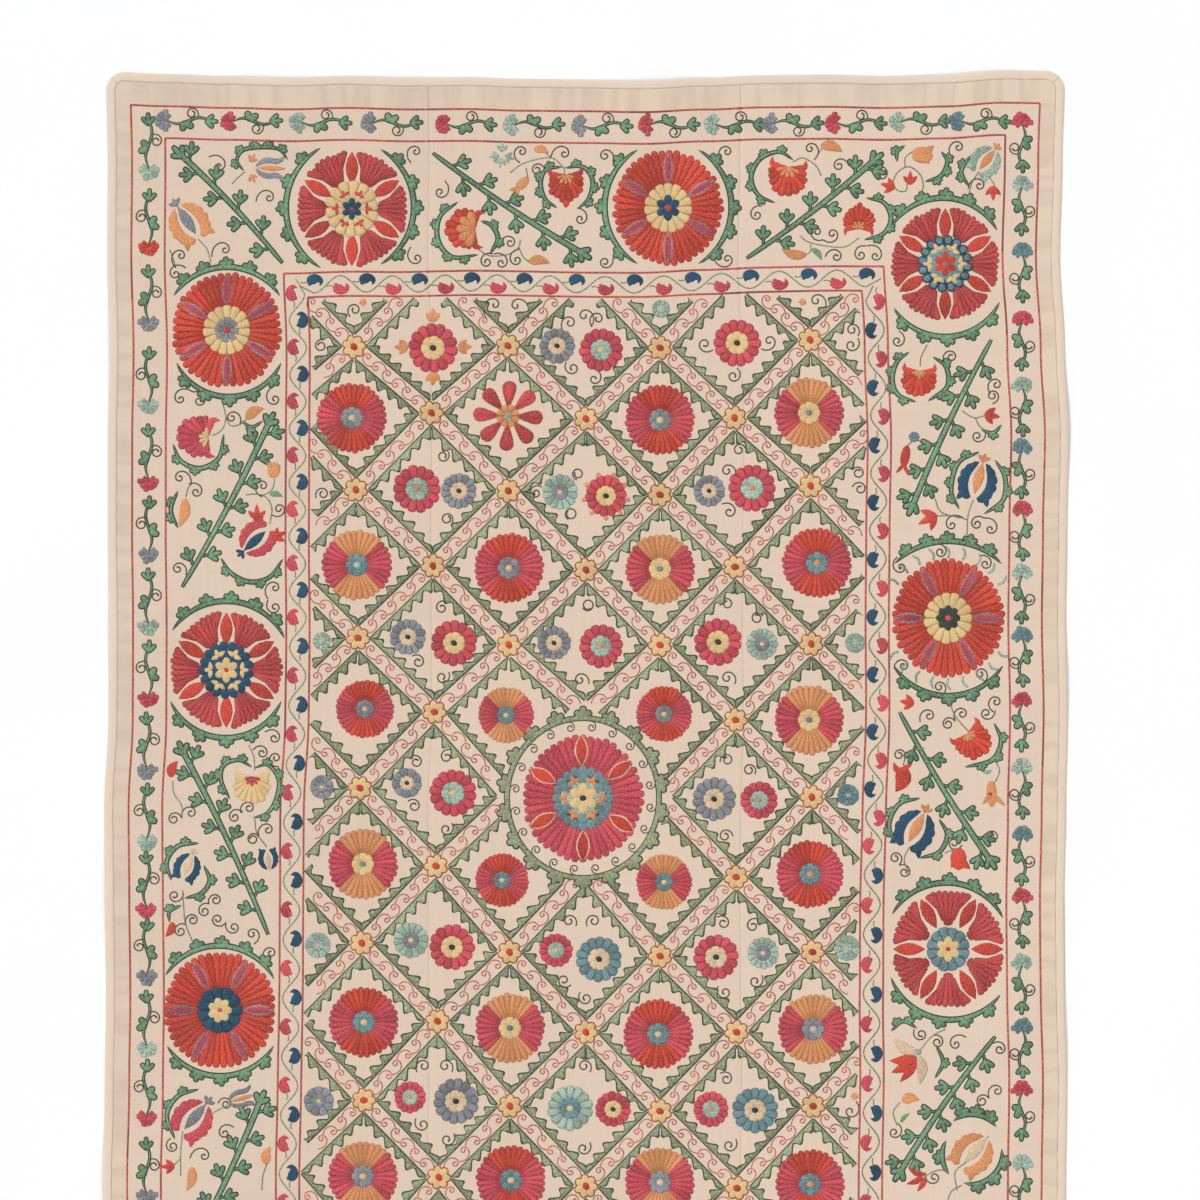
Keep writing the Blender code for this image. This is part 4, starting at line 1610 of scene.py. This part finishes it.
# Columns: start x, y, eye x, y, hand
FIELD_TENDRILS = (
    (324, 340, 321, 346, -1),
    (350, 317, 355, 310, 1),
    (486, 318, 495, 305, 1),
    (528, 318, 516, 306, -1),
    (562, 329, 570, 323, 1),
    (591, 327, 584, 316, -1),
    (592, 327, 598, 319, 1),
    (566, 362, 573, 368, -1),
    (591, 368, 594, 379, 1),
    (713, 350, 705, 344, 1),
    (761, 349, 769, 341, -1),
    (737, 368, 733, 376, 1),
    (858, 336, 852, 330, -1),
    (858, 338, 851, 345, 1),
    (825, 309, 816, 301, -1),
    (447, 450, 443, 456, 1),
    (452, 523, 447, 519, -1),
    (577, 480, 578, 474, 1),
    (568, 511, 571, 514, -1),
    (316, 498, 323, 494, 1),
    (735, 477, 727, 471, -1),
    (722, 504, 729, 512, 1),
    (746, 453, 739, 450, -1),
    (852, 470, 858, 473, 1),
    (852, 487, 860, 489, 1),
    (591, 608, 588, 605, 1),
    (720, 606, 727, 604, 1),
    (763, 616, 757, 618, -1),
    (735, 684, 727, 678, -1),
    (449, 603, 442, 608, -1),
    (412, 656, 418, 662, 1),
    (449, 672, 442, 677, 1),
    (720, 762, 727, 760, 1),
    (755, 774, 749, 770, -1),
    (733, 836, 725, 836, -1),
    (589, 684, 580, 680, -1),
    (454, 751, 447, 757, -1),
    (410, 757, 416, 762, 1),
    (408, 801, 414, 806, 1),
    (452, 823, 446, 829, 1),
    (576, 926, 569, 921, -1),
    (587, 926, 594, 921, 1),
    (571, 985, 564, 980, 1),
    (580, 992, 586, 998, -1),
    (417, 1072, 424, 1066, 1),
    (452, 1072, 445, 1066, -1),
    (717, 917, 723, 923, 1),
    (760, 920, 753, 926, -1),
    (718, 986, 725, 992, -1),
    (762, 975, 755, 981, 1),
    (416, 1118, 423, 1124, -1),
    (590, 1072, 584, 1066, -1),
    (590, 1142, 583, 1148, 1),
    (720, 1073, 726, 1079, 1),
    (736, 1139, 729, 1145, 1),
    (454, 1133, 447, 1139, 1),
    (542, 487, 536, 493, -1),
    (856, 1101, 850, 1111, 1),
)


def inside_field(points, margin):
    """Whether points are within the field's line and outside the medallion's ring."""
    cut = 2 * points - laid(points) + drift(points)
    half = np.array((WIDTH, LENGTH)) / 2 / SQUARE - FIELD_LINES[1] - margin
    ok = (np.abs(cut - MIDDLE) < half).all(axis=1)
    x, y, rx, ry = MEDALLION
    ok &= ((points[:, 0] - x) / (rx + 4.5)) ** 2 + ((points[:, 1] - y) / (ry + 4.5)) ** 2 > 1
    return ok


def runs(mask):
    """Start and end of each run of true values."""
    padded = np.concatenate(([False], mask, [False])).astype(int)
    change = np.flatnonzero(np.diff(padded))
    return zip(change[::2], change[1::2])


# Half a lattice band's width between its leaves, and about how long a tooth and a curl are
BAND_HALF = 8.6
TOOTH = 14.5
CURL = 14
# A tooth of a lattice leaf: share of its pitch, and how far it stands out
TOOTH_SHAPE = np.array(
    ((0.0, 2.9), (0.1, 3.0), (0.28, 4.9), (0.46, 7.4), (0.6, 9.0), (0.72, 9.4), (0.82, 8.2), (0.9, 4.8))
)


def leafy_edge(start, end, inward):
    """A toothed leaf down one side of a lattice band. Its teeth are on the right where inward is 1."""
    start, end = np.asarray(start, float), np.asarray(end, float)
    length = np.hypot(*(end - start))
    teeth = max(2, round(length / TOOTH))
    t = np.concatenate([(index + TOOTH_SHAPE[:, 0]) / teeth for index in range(teeth)] + [[1.0]])
    reach = [TOOTH_SHAPE[:, 1] * needle.random.uniform(0.86, 1.1) for index in range(teeth)]
    width = np.concatenate(reach + [[1.6]]) * np.interp(t, (0, 0.1, 0.8, 0.93, 1), (0.5, 1, 1, 0.6, 0.35))
    points = start + (end - start) * t[:, None]
    beside = np.array((start[1] - end[1], end[0] - start[0])) / length * inward
    tips = points + beside * width[:, None]
    for first, last in runs(inside_field(points, 1.0) & inside_field(tips, 0.5)):
        if last - first < 4:
            continue
        part, wide = points[first:last], width[first:last]
        for thread, plain, toothed, section, lift in (
            ("olive_edge", np.full(len(part), 1.2), wide + 0.7, EDGING, 0.0),
            ("olive", np.full(len(part), -0.25), np.maximum(wide - 0.55, 0.6), FILL, 0.0001),
        ):
            left, right = (plain, toothed) if inward > 0 else (toothed, plain)
            needle.band(thread, CHART, part, left, right, section, lift)


def scroll(start, end):
    """The running scroll along the middle of a lattice band: curls to either side by turns."""
    start, end = np.asarray(start, float), np.asarray(end, float)
    length = np.hypot(*(end - start))
    ahead = (end - start) / length
    side = np.array((-ahead[1], ahead[0]))
    curls = max(2, round(length / CURL))
    pitch = length / curls
    for index in range(curls):
        hand = 1 if index % 2 else -1
        eye = start + ahead * (index + 0.42) * pitch + side * hand * 1.6
        root = start + ahead * (index + 1.12) * pitch - side * hand * 3.6
        if inside_field(np.array((root, eye)), 4).all():
            tendril(CHART, root, eye, -hand, 1.45, 1.5, "scroll", 3.7)


def lattice_band(start, end):
    """A band between two crossings, from the upper one to the lower one."""
    start, end = np.array(start, float), np.array(end, float)
    length = np.hypot(*(end - start))
    ahead = (end - start) / length
    right = np.array((-ahead[1], ahead[0]))
    inset = BAND_HALF + 0.6
    for side in (-1, 1):
        leafy_edge(
            start + ahead * inset + right * side * BAND_HALF,
            end - ahead * inset + right * side * BAND_HALF,
            side,
        )
    scroll(start + ahead * 12, end - ahead * 12)


def crossings(columns, creep, levels):
    """Where a set's crossings stand, by row and column."""
    x = np.array(columns) + np.arange(len(levels))[:, None] * creep
    return np.stack((x, np.array(levels)), axis=-1)


def lattice():
    first = crossings(COLUMNS_A, CREEP_A, LEVELS_A)
    second = crossings(COLUMNS_B, CREEP_B, LEVELS_B)
    for j, row_of_crossings in enumerate(first):
        for i, crossing in enumerate(row_of_crossings):
            for beside in (i, i + 1):
                lattice_band(second[j, beside], crossing)
                lattice_band(crossing, second[j + 1, beside])
    for x, y in np.concatenate((first.reshape(-1, 2), second[1:-1, 1:-1].reshape(-1, 2))):
        if inside_field(np.array(((x, y),)), 0).all():
            crossing_flower(x, y)
    for flower in FIELD_ROSETTES:
        field_rosette(*flower)
    daisy(*DAISY)
    for x, y in STARS:
        turn = math.degrees(math.atan2(y - STARS_ROUND[1], x - STARS_ROUND[0]))
        bell(x, y, turn, 12, 16, "apricot", "star")
    for index in range(DOTS):
        dot = Spot(*DOTTED_FLOWER, index * 360 / DOTS + 10).at(DOT_RING, 0)
        needle.dot("apricot", dot, DOT_RADIUS)
    for flower in SMALL_FLOWERS:
        small_flower(*flower)
    for x0, y0, x1, y1, hand in FIELD_TENDRILS:
        tendril(CHART, (x0, y0), (x1, y1), hand, 1.3)
    for x, y, turn in SMALL_STARS:
        bell(x, y, turn, 6, 8, "apricot", "star")


def medallion():
    x, y, across, along = MEDALLION
    spot = Spot(x, y)
    outside = MEDALLION_RING + 1
    spot.matrix = spot.matrix @ np.array(((across / outside, 0), (0, along / outside)))
    angles = np.linspace(0, 2 * math.pi, 72, endpoint=False)
    spine = MEDALLION_RING * np.stack((np.cos(angles), np.sin(angles)), axis=1)
    needle.band("olive_edge", spot, spine, 3.2, section=EDGING, closed=True)
    needle.band("olive", spot, spine, 2.2, lift=0.00016, closed=True)
    for index in range(18):
        turn = index * 20 - 90
        bud(spot.at(0, 0, turn).at(MEDALLION_RING + 1.5, 0), 1.12, "olive", "olive_edge")
    for index in range(20):
        turn = index * 18 - 85
        tendril(spot.at(0, 0, turn), (75.5, 0), (69.5, 2.5), 1, 1.35, 1.5, curl=3.6)
    ribs("crimson", spot, 46, 24, 62, furrow=0.4)
    for turn in MEDALLION_PETALS:
        axis = spot.at(0, 0, turn).at(31, 0)
        needle.lobe("beige", axis, 31, 17.0, shape=LENS, lift=0.0003)
        needle.lobe("petal_red", axis.at(1.0, 0), 29, 14.8, shape=LENS, lift=0.0005)
    heart_of(spot, 62, HEARTS["medallion"])


# Runs of evenly spaced buds in the inner border. Columns: first and last place along the side, and how many
TOP_BUDS = ((314, 576, 11), (605, 866, 10))
RIGHT_BUDS = ((301, 817, 19), (845, 1320, 17))
LEFT_BUDS = ((294, 618, 13), (647, 1320, 24))
# Above this place at the right the crimson buds are the outer ones, and below it the navy ones
BUDS_CHANGE = 830
# The vine's line, as squares in from the sides and from the ends, and how far it swings to either side
VINE_IN = (190.7, 208.7)
VINE_REACH = 8.4
VINE_TAIL = 15


def vine(runs_of_buds, axis, level, ahead, outer, inner, change=None):
    """The inner border's vine along one side, clockwise round the cloth, with a curled bud in each bend.

    axis is 0 for a line across and 1 for one down, level is the line's place on the other axis, and
    past the place given as change the outer and inner threads are swapped.
    """
    out = ahead if axis else -ahead
    turn = 90 * axis if ahead > 0 else 180 + 90 * axis

    def at(along, outwards):
        points = np.empty((len(along), 2))
        points[:, axis] = along
        points[:, 1 - axis] = level + out * np.asarray(outwards)
        points = laid(points)
        points -= drift(points)
        points[:, axis] = along
        return points

    places = np.concatenate([np.linspace(*run) for run in runs_of_buds])[::ahead]
    sides = np.where((np.arange(len(places)) % 2 == 0) == (ahead > 0 or len(places) % 2 == 1), 1, -1)
    share = np.arange(0, 1, 1 / 7)
    along, wave = [[places[0] - VINE_TAIL * ahead]], [[0.0]]
    for here, following, side in zip(places, places[1:], sides):
        along.append(here + (following - here) * share)
        wave.append(-side * VINE_REACH * np.cos(math.pi * share))
    along.append([places[-1], places[-1] + VINE_TAIL * ahead])
    wave.append([-sides[-1] * VINE_REACH, 0.0])
    needle.cord("vine", CHART, at(np.concatenate(along), np.concatenate(wave)), 1.6)
    for place, side, (x, y) in zip(places, sides, at(places, sides * 4.2)):
        is_outer = (side > 0) != (change is not None and place > change)
        bud_spot = Spot(x, y, turn, flip=side < 0)
        paisley(bud_spot, outer if is_outer else inner)
        needle.cord("vine", bud_spot, smooth(((-13.5, 1.6), (-10.5, 2.4), (-7, 1.6)), 2.2), 1.4)


def borders():
    for in_sides, in_ends in EDGE_LINES + FIELD_LINES:
        edge_line(in_sides, in_ends)
    for index, (x, thread) in enumerate(zip(TOP_SPRIGS, TOP_THREADS)):
        for half_turn in (False, True):
            y = TOP_SPRIG_LINE - TOP_SPRIG_RISE * abs(x - MIDDLE[0]) / 10
            sprig(x, y, 0, TOP_SPRIG_LENGTH, thread, index % 2 == 1, half_turn)
    for index, (y, thread) in enumerate(zip(LEFT_SPRIGS, LEFT_THREADS)):
        x = LEFT_SPRIG_LINES[y >= LEFT_LINE_CHANGE]
        sprig(x, y, -90, LEFT_SPRIG_LENGTH, thread, index % 2 == 0)
    for index, (y, thread) in enumerate(zip(RIGHT_SPRIGS, RIGHT_THREADS)):
        sprig(RIGHT_SPRIG_LINE, y, 90, RIGHT_SPRIG_LENGTH, thread, index % 2 == 0)
    half = np.array((WIDTH, LENGTH)) / 2 / SQUARE - VINE_IN
    left, top = MIDDLE - half
    right, bottom = MIDDLE + half
    across = 2 * MIDDLE[0]
    bottom_buds = [(across - last, across - first, count) for first, last, count in TOP_BUDS[::-1]]
    vine(TOP_BUDS, 0, top, 1, "navy", "crimson")
    vine(RIGHT_BUDS, 1, right, 1, "crimson", "navy", BUDS_CHANGE)
    vine(bottom_buds, 0, bottom, -1, "navy", "crimson")
    vine(LEFT_BUDS, 1, left, -1, "crimson", "navy")


def sew_rows(rows, sew, level=lambda row: row[1]):
    """Sews a table's motifs in turn, each again at the other end where its level is above END_ROWS."""
    for row in rows:
        sew(*row)
        if level(row) < END_ROWS:
            sew(*row, half_turn=True)


def main_border():
    sew_rows(OPEN_ROSETTES, open_rosette)
    sew_rows(CLOSED_ROSETTES, closed_rosette)
    sew_rows(CRESCENTS, crescent)
    sew_rows(CURLED_LEAVES, border_leaf, lambda row: row[2][0][1])
    sew_rows(BRANCHES, branch, lambda row: max(row[1], row[3]))
    sew_rows(FAN_FLOWERS, fan_flower)
    sew_rows(POMEGRANATES, pomegranate)
    sew_rows(TULIPS, tulip)
    sew_rows(BELLS, bell)
    sew_rows(TENDRILS, border_tendril)
    sew_rows(STEMS, stem, lambda row: row[0][1])
    halo_hairs()
    for half_turn in (False, True):
        flower = Spot(*MINT_LEAVES, half_turn=half_turn)
        for turn in MINT_LEAF_TURNS:
            trefoil(flower.at(0, 0, turn).at(4, 0), 0.8, "mint", None)
        for x, y, turn in APRICOT_LEAVES:
            trefoil(Spot(x, y, turn, half_turn=half_turn), 0.72, "apricot", None)


def halo_hairs():
    """Curved pale hairs above and below the rosette at the right."""
    for middle in (-90, 90):
        for step in range(9):
            spot = Spot(*HALO_AT, middle + 14 * step - 56).at(HALO_RADIUS, 0)
            needle.cord("mint", spot, smooth(((0, 0), (6, 1.2), (12, -2.4)), 2.5), 3.0, (1.0, 0.6))


# Camera, light and floor

CAMERA_DISTANCE = 6.0
SENSOR = 36.0
FLOOR_SIZE = 12.0
SKY_STRENGTH = 0.70
LAMP_ANGLE = math.radians(24)
# Columns: name, tilt and turn in degrees, strength
LAMPS = (("key", 52, 225, 1.75), ("fill", 45, 50, 0.45))


def studio():
    scene = bpy.context.scene
    camera = bpy.data.objects.new("camera", bpy.data.cameras.new("camera"))
    scene.collection.objects.link(camera)
    camera.data.sensor_width = SENSOR
    camera.data.lens = SENSOR * CAMERA_DISTANCE / (PICTURE * SQUARE)
    x, y = (PICTURE / 2 - MIDDLE[0]) * SQUARE, (MIDDLE[1] - PICTURE / 2) * SQUARE
    camera.location = (x, y, CAMERA_DISTANCE)
    scene.camera = camera

    bpy.ops.object.select_all(action="DESELECT")
    bpy.ops.mesh.primitive_plane_add(size=FLOOR_SIZE, location=(0, 0, -0.0002))
    floor = bpy.context.object
    floor.name = "floor"
    n = Nodes("floor_paint", 0.9, specular=0.1)
    spots = n.noise(n.place(), 3.0, 2.0)
    darker, lighter = (0.862, 0.863, 0.865, 1), (0.874, 0.875, 0.877, 1)
    floor.data.materials.append(n.colour(n.mix(spots, darker, lighter)))

    world = bpy.data.worlds.new("studio")
    world.use_nodes = True
    sky = world.node_tree.nodes["Background"]
    sky.inputs["Color"].default_value = (1.0, 1.0, 1.0, 1)
    sky.inputs["Strength"].default_value = SKY_STRENGTH
    scene.world = world

    for name, tilt, turn, strength in LAMPS:
        lamp = bpy.data.lights.new(name, "SUN")
        lamp.angle = LAMP_ANGLE
        lamp.energy = strength
        light = bpy.data.objects.new(name, lamp)
        light.rotation_euler = (math.radians(tilt), 0, math.radians(turn))
        scene.collection.objects.link(light)

    scene.view_settings.view_transform = "Standard"
    scene.view_settings.look = "None"


def main():
    seams = (None, LEFT_SEAM, RIGHT_SEAM, None)
    for index, (name, tone) in enumerate((("left", 0.982), ("centre", 0.996), ("right", 1.014))):
        cotton = woven_cotton(
            f"{name}_cotton",
            ((236, 214, 193), (218, 194, 173)),
            ((236, 215, 193), (222, 199, 175)),
            (WIDTH / 2 - EDGE_LINES[0][0] * SQUARE, LENGTH / 2 - EDGE_LINES[0][1] * SQUARE),
            tone,
        )
        ground_strip(f"suzani_strip_{name}", f"strip_{name}", seams[index], seams[index + 1], cotton)
    binding_tones = ((238, 219, 200), (228, 206, 185))
    no_margin = (9, 9)
    edging = woven_cotton("binding_cotton", binding_tones, binding_tones, no_margin)
    for side in ("top", "bottom", "left", "right"):
        binding(side, edging)
    borders()
    main_border()
    lattice()
    medallion()
    for thread in list(needle.shapes):
        needle.sew(thread)
    studio()


main()
